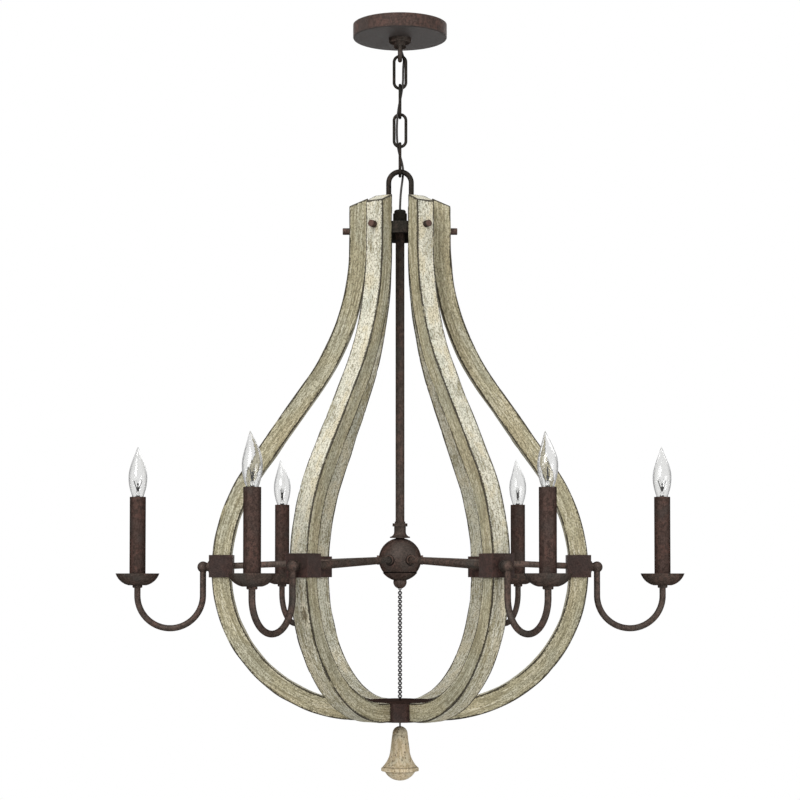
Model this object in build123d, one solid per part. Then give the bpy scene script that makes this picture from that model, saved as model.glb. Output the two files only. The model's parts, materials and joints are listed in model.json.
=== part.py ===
from build123d import *
import os
from math import asin, atan2, cos, degrees, pi, sin, tan

# Chandelier of six curved wooden staves round an iron frame, with six candle lights, hung from
# a ceiling canopy by a short chain.
# Millimetres, +Z up. The origin is on the ceiling, at the centre of the crossbar's upper face.
# Stave 1 lies along +X, and the others follow at equal turns seen from above.

# Counts
stave_count = 6
link_count = 4

# Clearances
slide_clearance = 0.3
thread_clearance = 0.1
chain_clearance = 0.2
ring_clearance = 0.15
bore_clearance = 0.1
wire_clearance = 0.2

# Ceiling crossbar and its threaded nipple
crossbar_length = 108.0
crossbar_width = 20.0
crossbar_thickness = 2.5
box_screw_spacing = 88.9
box_slot_width = 4.8
box_slot_length = 12.0
nipple_diameter = 9.6
nipple_bore = 6.4
nipple_length = 20.0
nut_across_flats = 14.3
nut_thickness = 3.0

# Canopy, the ring that holds it up and the loop that the chain hangs from
canopy_diameter = 127.0
canopy_depth = 18.5
canopy_wall = 1.2
canopy_edge_round = 1.6
canopy_ring_diameter = 30.0
canopy_ring_height = 6.0
canopy_ring_chamfer = 1.5
loop_collar_diameter = 24.0
loop_collar_length = 14.0
loop_collar_plug = 4.0
loop_shoulder_width = 16.0
loop_shoulder_height = 5.5
loop_shoulder_margin = 0.25
loop_wire = 6.0
loop_opening = 11.0
loop_drop = 17.7

# Chain
chain_wire = 4.0
link_width = 20.0
link_length = 48.0

# Iron loop, wire cap and hub at the top of the staves
top_loop_wire = 7.0
top_loop_width = 37.5
top_loop_height = 77.7
wire_cap_diameter = 18.8
wire_cap_neck_diameter = 15.8
wire_cap_height = 22.0
wire_cap_neck_height = 5.0
wire_cap_chamfer = 1.5
top_hub_diameter = 90.0
top_hub_flat = 43.0
top_hub_height = 15.5
top_hub_plate = 3.5
top_hub_inner_diameter = 76.0

# Staves. The arc radii are those of the outer face
stave_thickness = 25.4
stave_width = 26.0
stave_top_rise = 36.0
stave_top_bevel = 11.0
stave_straight = 51.0
stave_flare_radius = 317.0
stave_slope = 35.0
stave_shoulder_radius = 246.0
stave_bowl_radius = 198.5
stave_foot_run = 6.6
stave_edge_round = 1.0

# Bolts through the tops of the staves
bolt_diameter = 6.0
bolt_head_diameter = 9.0
bolt_head_length = 9.0
bolt_head_round = 0.9
bolt_inset = 7.0

# Centre rod, hub ball and its cap and knob
rod_diameter = 12.0
rod_bore = 8.0
rod_entry = 5.0
hub_ball_diameter = 57.0
hub_ball_wall = 2.2
hub_ball_rise = 16.5
hub_seam_drop = 18.0
hub_cap_lip = 1.0
hub_knob_diameter = 18.0
hub_knob_drop = 39.6
hub_stud_diameter = 6.0
hub_collar_ring_diameter = 20.0
hub_collar_bead_diameter = 14.2
hub_collar_neck_diameter = 15.8
hub_collar_foot_diameter = 27.0
hub_collar_height = 22.0
hub_collar_bead_height = 2.5
hub_collar_ring_height = 4.0
hub_collar_neck_height = 7.5
hub_collar_foot_height = 1.6

# Terminal block inside the hub ball
terminal_diameter = 20.0
terminal_height = 14.0
terminal_chamfer = 1.4

# Arms from the hub ball to the staves
hub_arm_diameter = 8.4
hub_arm_bore = 6.0
hub_arm_entry = 5.0
hub_arm_ring_diameter = 12.6
hub_arm_ring_length = 2.4

# Sleeves clamped round the staves, with the collars of the candle arms
clamp_wall = 3.2
clamp_height = 30.0
clamp_rise = 7.0
clamp_fit = 0.1
clamp_edge_round = 1.0
arm_collar_diameter = 15.0
arm_collar_step_diameter = 11.5
arm_collar_flange = 2.2

# Candle arms
elbow_diameter = 15.2
elbow_offset = 12.3
elbow_rise = 5.9
arm_diameter = 8.4
arm_bore = 6.0
arm_leg = 38.0
arm_reach = 88.0
arm_end_rise = 25.0

# Bobeche dishes, candle sleeves and sockets
bobeche_diameter = 58.5
bobeche_floor_diameter = 24.0
bobeche_height = 16.0
bobeche_side_radius = 24.0
bobeche_wall = 1.2
bobeche_rise = 13.5
bobeche_nut_diameter = 13.2
bobeche_nut_height = 3.4
bobeche_nut_chamfer = 0.85
sleeve_diameter = 21.5
sleeve_wall = 1.2
sleeve_length = 117.5
socket_diameter = 17.0
socket_inset = 4.0
socket_depth = 20.0
socket_floor = 7.0
socket_stem_diameter = 12.0

# Flame bulbs with a small screw base
bulb_base_diameter = 11.7
bulb_base_length = 19.0
bulb_contact_diameter = 5.0
bulb_contact_height = 1.5
bulb_neck_diameter = 12.4
bulb_glass_diameter = 25.2
bulb_glass_wall = 0.8
bulb_belly_rise = 29.0
bulb_glass_length = 70.0
bulb_tip_diameter = 2.4

# Hub at the bottom of the staves
bottom_hub_flat = 47.0
bottom_hub_corner = 3.0
bottom_hub_wall = 5.0
bottom_hub_margin = 0.5
bottom_hub_floor = 3.0
bottom_cover_thickness = 2.0
bottom_boss_diameter = 24.0
bottom_boss_bore = 16.0
bottom_boss_height = 12.0
end_screw_diameter = 4.0
end_screw_length = 26.0
end_screw_head_diameter = 8.0
end_screw_head_height = 2.5
end_screw_seat_gap = 0.3

# Turned wooden finial on its pin
finial_pin_diameter = 2.4
finial_pin_drop = 6.0
finial_eye_wire = 2.2
finial_gap = 7.8
finial_eye_depth = 14.0
finial_length = 72.5
finial_dome_radius = 10.2
finial_waist_radius = 13.2
finial_waist_drop = 34.0
finial_flare_radius = 24.0
finial_rim_diameter = 50.2
finial_rim_top_drop = 54.6
finial_rim_bevel = 0.9
finial_rim_height = 4.0
finial_bowl_radius = 20.3
finial_bowl_drop = 60.6

# Fine decorative chain
fine_wire = 0.9
fine_pitch = 2.85

# Wires
cord_diameter = 3.0
lead_diameter = 2.2
lead_bend_radius = 5.0

# Supply cord: from the outlet box down the nipple, through the links and down the centre rod
cord_points = [
    (0, 0, -0.8),
    (0, 0, -31.0),
    (5.8, 4.6, -45.5),
    (4.2, 3.9, -56.0),
    (4.25, -4.25, -84.7),
    (-4.25, -4.25, -124.5),
    (-4.25, 4.25, -164.3),
    (3.9, 4.2, -190.5),
    (4.4, 6.2, -203.2),
    (1.2, 2.4, -226.0),
    (0, 0, -247.0),
]
cord_contact_radius = 30.0
cord_bend_share = 0.45

# Heights worked out from the top down
canopy_bottom = -slide_clearance - canopy_depth
ring_bottom = canopy_bottom - canopy_ring_height
shoulder_bottom = ring_bottom - loop_shoulder_height
loop_wire_z = shoulder_bottom - loop_drop
link_height = link_length - chain_wire
first_link_top = loop_wire_z + (loop_wire + chain_wire) / 2 + chain_clearance
link_step = link_height - chain_wire - chain_clearance
link_tops = [first_link_top - i * link_step for i in range(link_count)]
last_link_bottom = link_tops[-1] - link_height
top_loop_wire_z = last_link_bottom + (chain_wire + top_loop_wire) / 2 + chain_clearance
hub_top = top_loop_wire_z + top_loop_wire / 2 - top_loop_height
top_hub_bottom = hub_top - top_hub_height
bolt_z = hub_top - bolt_inset
pivot_heights = [loop_wire_z] + [top - link_height for top in link_tops]

# Radii and heights along a stave's outer face
stave_top_radius = top_hub_flat + stave_thickness
stave_top = hub_top + stave_top_rise
slope_sin = sin(stave_slope * pi / 180)
slope_cos = cos(stave_slope * pi / 180)
arc_radius_sum = stave_flare_radius + stave_shoulder_radius
belt_radius = bottom_hub_flat + stave_foot_run + stave_bowl_radius
stave_slope_length = (belt_radius - stave_top_radius - arc_radius_sum * (1 - slope_cos)) / slope_sin
belt_z = (
    stave_top - stave_top_bevel - stave_straight
    - arc_radius_sum * slope_sin - stave_slope_length * slope_cos
)
stave_bottom = belt_z - stave_bowl_radius

# Hub ball, arm line and candle places
hub_z = belt_z + hub_ball_rise
hub_radius = hub_ball_diameter / 2
hub_seam = hub_z - hub_seam_drop
collar_bottom = hub_z + hub_radius
collar_top = collar_bottom + hub_collar_height
rod_bottom = collar_bottom - rod_entry
terminal_top = hub_z + terminal_height / 2
terminal_bottom = hub_z - terminal_height / 2
elbow_radius = belt_radius + elbow_offset
elbow_z = belt_z + elbow_rise
arm_fall = atan2(hub_z - elbow_z, elbow_radius)
clamp_inner_face = belt_radius - stave_thickness - clamp_wall
clamp_outer_face = belt_radius + clamp_wall
clamp_middle = (clamp_inner_face + clamp_outer_face) / 2
clamp_z = belt_z + clamp_rise
arm_turn_z = elbow_z - arm_leg
candle_radius = elbow_radius + arm_reach
bobeche_bottom = arm_turn_z + bobeche_rise
bobeche_floor_z = bobeche_bottom + bobeche_wall
arm_end = arm_turn_z + arm_end_rise
sleeve_top = bobeche_floor_z + sleeve_length
socket_top = sleeve_top - socket_inset
socket_floor_z = socket_top - socket_depth
socket_bottom = socket_floor_z - socket_floor
bulb_contact_z = socket_floor_z + slide_clearance
bulb_base_bottom = bulb_contact_z + bulb_contact_height
bulb_base_top = bulb_base_bottom + bulb_base_length
bulb_glass_bottom = bulb_base_top + wire_clearance
socket_bore = bulb_base_diameter + 2 * slide_clearance

# Bottom hub and finial
bottom_hub_diameter = 2 * (bottom_hub_flat + bottom_hub_corner)
bottom_hub_inner_diameter = 2 * (bottom_hub_flat - bottom_hub_wall)
bottom_hub_top = stave_bottom + stave_thickness + bottom_hub_margin
bottom_hub_bottom = stave_bottom - bottom_hub_margin
bottom_wall_top = bottom_hub_top - bottom_cover_thickness
end_screw_z = stave_bottom + stave_thickness / 2
pin_z = bottom_hub_bottom + finial_pin_drop
finial_top = bottom_hub_bottom - finial_gap
knob_bottom = hub_z - hub_knob_drop

# Fine chain between an eye under the knob and an eye on the bottom hub's cover
fine_step = fine_wire + ring_clearance
fine_eye_bend = fine_pitch / 2 + fine_step / 2
knob_eye_z = knob_bottom - fine_eye_bend
cover_eye_z = bottom_hub_top + fine_eye_bend
fine_count = round((knob_eye_z - cover_eye_z) / fine_pitch)
fine_height = (knob_eye_z - cover_eye_z + (fine_count + 1) * fine_step) / fine_count


def rod(radius, top, bottom, x=0.0, y=0.0):
    """Upright cylinder between two heights."""
    base = (Align.CENTER, Align.CENTER, Align.MIN)
    return Pos(x, y, bottom) * Cylinder(radius, top - bottom, align=base)


def beam(radius, start, end, z):
    """Cylinder along +X between two distances from the axis."""
    base = (Align.CENTER, Align.CENTER, Align.MIN)
    return Plane(origin=(start, 0, z), z_dir=(1, 0, 0)) * Cylinder(radius, end - start, align=base)


def spoke(radius, start, end):
    """Cylinder along the line from the hub ball's centre to an elbow, between two distances."""
    base = (Align.CENTER, Align.CENTER, Align.MIN)
    along = (cos(arm_fall), 0, -sin(arm_fall))
    origin = (start * along[0], 0, hub_z + start * along[2])
    return Plane(origin=origin, z_dir=along) * Cylinder(radius, end - start, align=base)


def turned(edges):
    """Solid turned about the vertical axis from a closed outline of radius and height."""
    return revolve(Plane.XZ * make_face(edges), Axis.Z)


def lower_bend(wire, bend):
    """Lower half of a round-wire ring in the XZ plane."""
    return revolve(Pos(bend, 0, 0) * Circle(wire / 2), Axis.Y, 180)


def upper_bend(wire, bend):
    """Upper half of a round-wire ring in the XZ plane."""
    return Rot(0, 180, 0) * lower_bend(wire, bend)


def all_round(shape):
    """Copies of a shape at every stave."""
    return [Rot(0, 0, 360 / stave_count * i) * shape for i in range(stave_count)]


def drum_outline(diameter, flat):
    """Circle with a flat for each stave."""
    polygon = RegularPolygon(flat, stave_count, major_radius=False, rotation=180 / stave_count)
    return Circle(diameter / 2) & polygon


def drum(diameter, flat, top, bottom):
    """Upright drum with a flat for each stave."""
    return Pos(0, 0, bottom) * extrude(drum_outline(diameter, flat), top - bottom)


def make_crossbar():
    """Strap with a threaded centre hole and two slots for the outlet box's screws."""
    outline = Rectangle(crossbar_length, crossbar_width)
    outline -= Circle(nipple_diameter / 2 + thread_clearance)
    for side in (-1, 1):
        outline -= Pos(side * box_screw_spacing / 2, 0) * SlotOverall(box_slot_length, box_slot_width)
    return extrude(outline, -crossbar_thickness)


def make_nipple():
    """Hollow threaded pipe that carries the load and lets the cord through."""
    top = -slide_clearance
    bottom = top - nipple_length
    return rod(nipple_diameter / 2, top, bottom) - rod(nipple_bore / 2, top, bottom)


def make_nipple_nut():
    """Hexagon nut that locks the nipple under the crossbar."""
    outline = RegularPolygon(nut_across_flats / 2, 6, major_radius=False)
    outline -= Circle(nipple_diameter / 2 + thread_clearance)
    return Pos(0, 0, -crossbar_thickness) * extrude(outline, -nut_thickness)


def make_canopy_loop():
    """Threaded collar on the nipple with a loop under it, and a hole for the cord."""
    collar_top_z = ring_bottom + loop_collar_length
    bend = (loop_opening + loop_wire) / 2
    turn_z = loop_wire_z + bend
    shoulder_length = 2 * (bend + loop_wire / 2 + loop_shoulder_margin)
    collar = rod(loop_collar_diameter / 2, collar_top_z, ring_bottom)
    outline = SlotOverall(shoulder_length, loop_shoulder_width)
    shoulder = Pos(0, 0, ring_bottom) * extrude(outline, -loop_shoulder_height)
    loop = Pos(0, 0, turn_z) * lower_bend(loop_wire, bend)
    for side in (-1, 1):
        loop += rod(loop_wire / 2, ring_bottom - loop_shoulder_height / 2, turn_z, x=side * bend)
    body = Rot(0, 0, 90) * (collar + shoulder + loop)
    socket_bottom_z = ring_bottom + loop_collar_plug
    thread = rod(nipple_diameter / 2 + thread_clearance, collar_top_z, socket_bottom_z)
    wire_way = rod(nipple_bore / 2, socket_bottom_z, shoulder_bottom)
    return body - thread - wire_way


def make_canopy():
    """Pan with an open top that covers the outlet box."""
    top = -slide_clearance
    radius = canopy_diameter / 2
    hole = loop_collar_diameter / 2 + 2 * slide_clearance
    shell = rod(radius, top, canopy_bottom)
    shell = fillet(shell.edges().sort_by(Axis.Z)[0], canopy_edge_round)
    shell -= rod(radius - canopy_wall, top, canopy_bottom + canopy_wall)
    return shell - rod(hole, top, canopy_bottom)


def make_canopy_ring():
    """Threaded ring on the loop's collar that holds the canopy up."""
    hole = loop_collar_diameter / 2 + slide_clearance
    ring = rod(canopy_ring_diameter / 2, canopy_bottom, ring_bottom)
    ring = chamfer(ring.edges().sort_by(Axis.Z)[0], canopy_ring_chamfer)
    return ring - rod(hole, canopy_bottom, ring_bottom)


def make_chain_link(index):
    """Oval link of round wire. Every second link is turned a quarter about the vertical."""
    bend = (link_width - chain_wire) / 2
    upper_z = link_tops[index] - bend
    lower_z = link_tops[index] - link_height + bend
    link = Pos(0, 0, upper_z) * upper_bend(chain_wire, bend)
    link += Pos(0, 0, lower_z) * lower_bend(chain_wire, bend)
    for side in (-1, 1):
        link += rod(chain_wire / 2, upper_z, lower_z, x=side * bend)
    return Rot(0, 0, 90 * (index % 2)) * link


def make_supply_cord():
    """Round cord along straight runs joined by tangent arcs."""
    points = [Vector(*p) for p in cord_points]
    points.append(Vector(0, 0, terminal_top + wire_clearance))
    radii = []
    for before, corner, after in zip(points, points[1:], points[2:]):
        run_in = corner - before
        run_out = after - corner
        half_turn = run_in.get_angle(run_out) / 2 * pi / 180
        room = cord_bend_share * min(run_in.length, run_out.length) / tan(half_turn)
        radii.append(min(room, cord_contact_radius))
    path = FilletPolyline(*points, radius=radii)
    section = Plane(origin=path @ 0, z_dir=path % 0) * Circle(cord_diameter / 2)
    cord = sweep(section, path=path)
    ideal = pi * cord_diameter**2 / 4 * path.length
    print("cord radii", [round(r, 1) for r in radii])
    print("cord length", round(path.length, 1), "volume", round(cord.volume, 1), "of", round(ideal, 1))
    return cord


def top_loop_legs(radius, top, bottom):
    """The two upright stretches of the top loop."""
    reach = (top_loop_width - top_loop_wire) / 2
    return rod(radius, top, bottom, x=reach) + rod(radius, top, bottom, x=-reach)


def make_top_loop():
    """Inverted U of heavy wire that stands through the top hub's plate."""
    bend = (top_loop_width - top_loop_wire) / 2
    turn_z = top_loop_wire_z - bend
    arch = Pos(0, 0, turn_z) * upper_bend(top_loop_wire, bend)
    return arch + top_loop_legs(top_loop_wire / 2, turn_z, hub_top - top_hub_plate)


def make_wire_cap():
    """Stepped cap on the top hub, with a hole where the cord goes in."""
    top = hub_top + wire_cap_height
    neck = rod(wire_cap_neck_diameter / 2, top, top - wire_cap_neck_height)
    neck = chamfer(neck.edges().sort_by(Axis.Z)[-1], wire_cap_chamfer)
    body = rod(wire_cap_diameter / 2, top - wire_cap_neck_height, hub_top)
    return neck + body - rod(cord_diameter / 2 + slide_clearance, top, hub_top)


def make_top_hub():
    """Drum with a plate on top, a flat for each stave and holes for loop, rod and bolts."""
    hub = drum(top_hub_diameter, top_hub_flat, hub_top, top_hub_bottom)
    hub -= rod(top_hub_inner_diameter / 2, hub_top - top_hub_plate, top_hub_bottom)
    hub -= rod(rod_diameter / 2 + thread_clearance, hub_top, top_hub_bottom)
    hub -= top_loop_legs(top_loop_wire / 2 + thread_clearance, hub_top, top_hub_bottom)
    hole_start = top_hub_inner_diameter / 2 - bolt_diameter
    return hub - all_round(beam(bolt_diameter / 2 + bore_clearance, hole_start, top_hub_diameter, bolt_z))


def make_bolt():
    """Round-headed bolt through a stave into the top hub's wall."""
    shank = beam(bolt_diameter / 2, top_hub_inner_diameter / 2, stave_top_radius, bolt_z)
    head_end = stave_top_radius + bolt_head_length
    head = beam(bolt_head_diameter / 2, stave_top_radius, head_end, bolt_z)
    head = fillet(head.edges().sort_by(Axis.X)[-1], bolt_head_round)
    return shank + head


def stave_face(spread):
    """Side view of a stave in radius and height, grown by spread on the two curved sides."""
    paths = []
    for inset in (-spread, stave_thickness + spread):
        top = stave_top - stave_top_bevel + stave_top_bevel * inset / stave_thickness
        flare_z = stave_top - stave_top_bevel - stave_straight
        radius = stave_top_radius - inset
        straight = Line((radius, top), (radius, flare_z))
        flare = JernArc(straight @ 1, (0, -1), stave_flare_radius + inset, stave_slope)
        slope = Line(flare @ 1, flare @ 1 + stave_slope_length * (flare % 1))
        shoulder = JernArc(slope @ 1, slope % 1, stave_shoulder_radius - inset, -stave_slope)
        bowl = JernArc(shoulder @ 1, (0, -1), stave_bowl_radius - inset, -90)
        end = Line(bowl @ 1, (bottom_hub_flat, (bowl @ 1).Y))
        paths.append([straight, flare, slope, shoulder, bowl, end])
    outer, inner = paths
    bevel = Line(outer[0] @ 0, inner[0] @ 0)
    foot = Line(outer[-1] @ 1, inner[-1] @ 1)
    return make_face([bevel, *outer, foot, *inner])


def make_stave_blank(spread):
    """Stave with square edges and no holes, grown by spread all round its section."""
    half_width = stave_width / 2 + spread
    return extrude(Plane.XZ * stave_face(spread), half_width, both=True)


def make_stave():
    """Curved stave with eased edges, a bolt hole, a wire hole and a screw hole in its end."""
    stave = make_stave_blank(0.0)
    half_width = stave_width / 2
    long_edges = [
        edge for edge in stave.edges()
        if abs(edge.center().Y) > half_width - stave_edge_round
    ]
    stave = fillet(long_edges, stave_edge_round)
    stave -= beam(bolt_diameter / 2 + bore_clearance, 0, stave_top_radius + stave_thickness, bolt_z)
    stave -= spoke(hub_arm_bore / 2, clamp_inner_face, elbow_radius)
    hole_end = bottom_hub_flat + end_screw_length
    return stave - beam(end_screw_diameter / 2 + bore_clearance, 0, hole_end, end_screw_z)


def make_center_rod():
    """Hollow rod from the top hub to the hub ball."""
    return rod(rod_diameter / 2, hub_top, rod_bottom) - rod(rod_bore / 2, hub_top, rod_bottom)


def make_hub_collar():
    """Turned collar with a bead, a ring and a flared foot where the rod meets the ball."""
    hole = rod_diameter / 2 + thread_clearance
    bead = hub_collar_bead_diameter / 2
    ring = hub_collar_ring_diameter / 2
    neck = hub_collar_neck_diameter / 2
    foot = hub_collar_foot_diameter / 2
    ring_top = collar_top - hub_collar_bead_height
    ring_low = ring_top - hub_collar_ring_height
    neck_low = ring_low - hub_collar_neck_height
    foot_top = collar_bottom + hub_collar_foot_height
    flare = TangentArc((neck, neck_low), (foot, foot_top), tangent=(0, -1))
    outline = [
        Polyline((hole, collar_top), (bead, collar_top), (bead, ring_top), (ring, ring_top)),
        Polyline((ring, ring_top), (ring, ring_low), (neck, ring_low), (neck, neck_low)),
        flare,
        Polyline((foot, foot_top), (foot, collar_bottom), (hole, collar_bottom), (hole, collar_top)),
    ]
    return turned(Curve() + outline)


def hub_ball(radius):
    """Ball about the hub's centre."""
    return Pos(0, 0, hub_z) * Sphere(radius)


def make_hub_shell():
    """Hollow ball, open below its seam, with holes for the rod and the arms."""
    below = rod(hub_ball_diameter, hub_seam, hub_z - hub_ball_diameter)
    shell = hub_ball(hub_radius) - hub_ball(hub_radius - hub_ball_wall) - below
    shell -= rod(rod_diameter / 2 + thread_clearance, collar_bottom, hub_z)
    return shell - all_round(spoke(hub_arm_diameter / 2 + bore_clearance, hub_radius / 2, hub_ball_diameter))


def make_hub_cap():
    """Dish that closes the ball from below, with a hole for the knob's stud."""
    radius = hub_radius + hub_cap_lip
    above = rod(hub_ball_diameter, hub_z + hub_ball_diameter, hub_seam)
    cap = hub_ball(radius) - hub_ball(radius - hub_ball_wall) - above
    return cap - rod(hub_stud_diameter / 2 + thread_clearance, hub_z, knob_bottom)


def make_hub_knob():
    """Ball nut with the stud that holds the cap on, and an eye for the fine chain."""
    radius = hub_knob_diameter / 2
    knob = Pos(0, 0, knob_bottom + radius) * Sphere(radius)
    knob -= hub_ball(hub_radius + hub_cap_lip + bore_clearance)
    knob += rod(hub_stud_diameter / 2, terminal_bottom, knob_bottom + radius)
    eye = Pos(0, 0, knob_bottom) * lower_bend(fine_wire, fine_eye_bend)
    for side in (-1, 1):
        eye += rod(fine_wire / 2, knob_bottom + fine_eye_bend, knob_bottom, x=side * fine_eye_bend)
    return knob + eye


def make_terminal_block():
    """Insulated block on the stud where the six leads meet the cord."""
    block = rod(terminal_diameter / 2, terminal_top, terminal_bottom)
    ends = [block.edges().sort_by(Axis.Z)[0], block.edges().sort_by(Axis.Z)[-1]]
    return chamfer(ends, terminal_chamfer)


def make_clamp_block():
    """Outer block of a clamp."""
    depth = clamp_outer_face - clamp_inner_face
    width = stave_width + 2 * clamp_wall
    return Pos(clamp_middle, 0, clamp_z) * Box(depth, width, clamp_height)


def make_hub_arm():
    """Turned tube from the hub ball to a clamp, with a ring that seats on the ball."""
    bore = hub_arm_bore / 2
    tube = hub_arm_diameter / 2
    ring = hub_arm_ring_diameter / 2
    seat = hub_radius + bore_clearance
    seat_low = degrees(asin(tube / seat))
    seat_high = degrees(asin(ring / seat))
    inside = hub_radius - hub_arm_entry
    ring_end = hub_radius + hub_arm_ring_length
    seat_arc = CenterArc((0, 0), seat, seat_low, seat_high - seat_low)
    outline = [
        Polyline((clamp_middle, bore), (inside, bore), (inside, tube), seat_arc @ 0),
        seat_arc,
        Polyline(seat_arc @ 1, (ring_end, ring), (ring_end, tube), (clamp_middle, tube)),
        Line((clamp_middle, tube), (clamp_middle, bore)),
    ]
    arm = revolve(make_face(Curve() + outline), Axis.X)
    return Pos(0, 0, hub_z) * Rot(0, degrees(arm_fall), 0) * arm - make_clamp_block()


def make_clamp():
    """Square sleeve that follows the stave's curve, with holes for the lead."""
    block = make_clamp_block()
    block = fillet(block.edges().filter_by(Axis.Z), clamp_edge_round)
    block -= make_stave_blank(clamp_fit)
    return block - spoke(hub_arm_bore / 2, 0, elbow_radius)


def elbow_ball(radius):
    """Ball about an elbow's centre."""
    return Pos(elbow_radius, 0, elbow_z) * Sphere(radius)


def make_arm_collar():
    """Stepped collar between a clamp and an elbow, hollowed to seat the elbow's ball."""
    flange_end = clamp_outer_face + arm_collar_flange
    step_end = (clamp_outer_face + elbow_radius) / 2
    collar = spoke(arm_collar_diameter / 2, clamp_middle, flange_end)
    collar += spoke(arm_collar_step_diameter / 2, clamp_middle, step_end)
    collar -= make_clamp_block()
    collar -= elbow_ball(elbow_diameter / 2 + bore_clearance)
    return collar - spoke(hub_arm_bore / 2, 0, elbow_radius)


def arm_core(radius):
    """Round bar along a candle arm: down from the elbow, round the U and up to the candle."""
    bend = arm_reach / 2
    core = Pos(elbow_radius + bend, 0, arm_turn_z) * lower_bend(2 * radius, bend)
    core += rod(radius, elbow_z, arm_turn_z, x=elbow_radius)
    return core + rod(radius, arm_end, arm_turn_z, x=candle_radius)


def make_candle_arm():
    """U-shaped tube with a ball elbow at its inner end."""
    arm = arm_core(arm_diameter / 2) + elbow_ball(elbow_diameter / 2)
    arm -= arm_core(arm_bore / 2)
    arm -= elbow_ball(arm_bore / 2)
    return arm - spoke(arm_bore / 2, clamp_inner_face, elbow_radius / cos(arm_fall))


def make_lamp_lead():
    """Lead from the terminal block through an arm, a stave and a candle arm to a socket."""
    start = terminal_diameter / 2 + wire_clearance
    hub_end = (start, hub_z - start * tan(arm_fall))
    elbow = (elbow_radius, elbow_z)
    turn = (elbow_radius, arm_turn_z)
    drop = FilletPolyline(hub_end, elbow, turn, radius=lead_bend_radius)
    bend = JernArc(turn, (0, -1), arm_reach / 2, 180)
    rise = Line(bend @ 1, (candle_radius, socket_bottom - wire_clearance))
    path = Plane.XZ * (Curve() + [drop, bend, rise])
    wire = path.wire()
    section = Plane(origin=wire @ 0, z_dir=wire % 0) * Circle(lead_diameter / 2)
    lead = sweep(section, path=wire)
    ideal = pi * lead_diameter**2 / 4 * wire.length
    print("lead length", round(wire.length, 1), "volume", round(lead.volume, 1), "of", round(ideal, 1))
    return lead


def make_bobeche():
    """Dish under a candle sleeve, with a hole for the arm's threaded end."""
    hole = arm_diameter / 2 + bore_clearance
    floor = bobeche_floor_diameter / 2
    rim = bobeche_diameter / 2
    top = bobeche_bottom + bobeche_height
    inner_floor = floor - bobeche_wall / 2
    outer_side = RadiusArc((floor, bobeche_bottom), (rim, top), -bobeche_side_radius)
    inner_side = RadiusArc((inner_floor, bobeche_floor_z), (rim - bobeche_wall, top), -bobeche_side_radius)
    outline = [
        Line((hole, bobeche_bottom), (floor, bobeche_bottom)),
        outer_side,
        Line((rim, top), (rim - bobeche_wall, top)),
        inner_side,
        Polyline((inner_floor, bobeche_floor_z), (hole, bobeche_floor_z), (hole, bobeche_bottom)),
    ]
    return Pos(candle_radius, 0, 0) * turned(Curve() + outline)


def make_bobeche_nut():
    """Round nut on the arm that carries the dish."""
    bottom = bobeche_bottom - bobeche_nut_height
    nut = rod(bobeche_nut_diameter / 2, bobeche_bottom, bottom)
    nut = chamfer(nut.edges().sort_by(Axis.Z)[0], bobeche_nut_chamfer)
    nut -= rod(arm_diameter / 2 + bore_clearance, bobeche_bottom, bottom)
    return Pos(candle_radius, 0, 0) * nut


def make_sleeve():
    """Candle sleeve that stands in the dish."""
    sleeve = rod(sleeve_diameter / 2, sleeve_top, bobeche_floor_z)
    sleeve -= rod(sleeve_diameter / 2 - sleeve_wall, sleeve_top, bobeche_floor_z)
    return Pos(candle_radius, 0, 0) * sleeve


def make_socket():
    """Lamp socket on a hollow stem that screws onto the arm's end."""
    stem = socket_stem_diameter / 2
    socket = rod(socket_diameter / 2, socket_top, socket_bottom) + rod(stem, socket_bottom, bobeche_floor_z)
    socket -= rod(socket_bore / 2, socket_top, socket_floor_z)
    socket -= rod(arm_diameter / 2 + bore_clearance, arm_end + wire_clearance, bobeche_floor_z)
    socket -= rod(arm_bore / 2, socket_bottom, bobeche_floor_z)
    return Pos(candle_radius, 0, 0) * socket


def make_bulb_base():
    """Metal screw base of a bulb with its end contact."""
    base = rod(bulb_base_diameter / 2, bulb_base_top, bulb_base_bottom)
    base = chamfer(base.edges().sort_by(Axis.Z)[0], bulb_contact_height)
    base += rod(bulb_contact_diameter / 2, bulb_base_bottom, bulb_contact_z)
    return Pos(candle_radius, 0, 0) * base


def bulb_outline(inset):
    """Flame outline from the neck to the tip, inset from the glass's outer face."""
    neck = bulb_neck_diameter / 2 - inset
    belly = bulb_glass_diameter / 2 - inset
    tip = bulb_tip_diameter / 2
    belly_z = bulb_glass_bottom + bulb_belly_rise
    top = bulb_glass_bottom + bulb_glass_length - inset
    low_side = TangentArc((belly, belly_z), (neck, bulb_glass_bottom), tangent=(0, -1))
    high_side = TangentArc((belly, belly_z), (tip, top), tangent=(0, 1))
    close = Polyline((tip, top), (0, top), (0, bulb_glass_bottom), (neck, bulb_glass_bottom))
    return Curve() + [low_side, high_side, close]


def make_bulb_glass():
    """Hollow flame-shaped glass, open at the neck."""
    glass = turned(bulb_outline(0.0)) - turned(bulb_outline(bulb_glass_wall))
    return Pos(candle_radius, 0, 0) * glass


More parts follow.
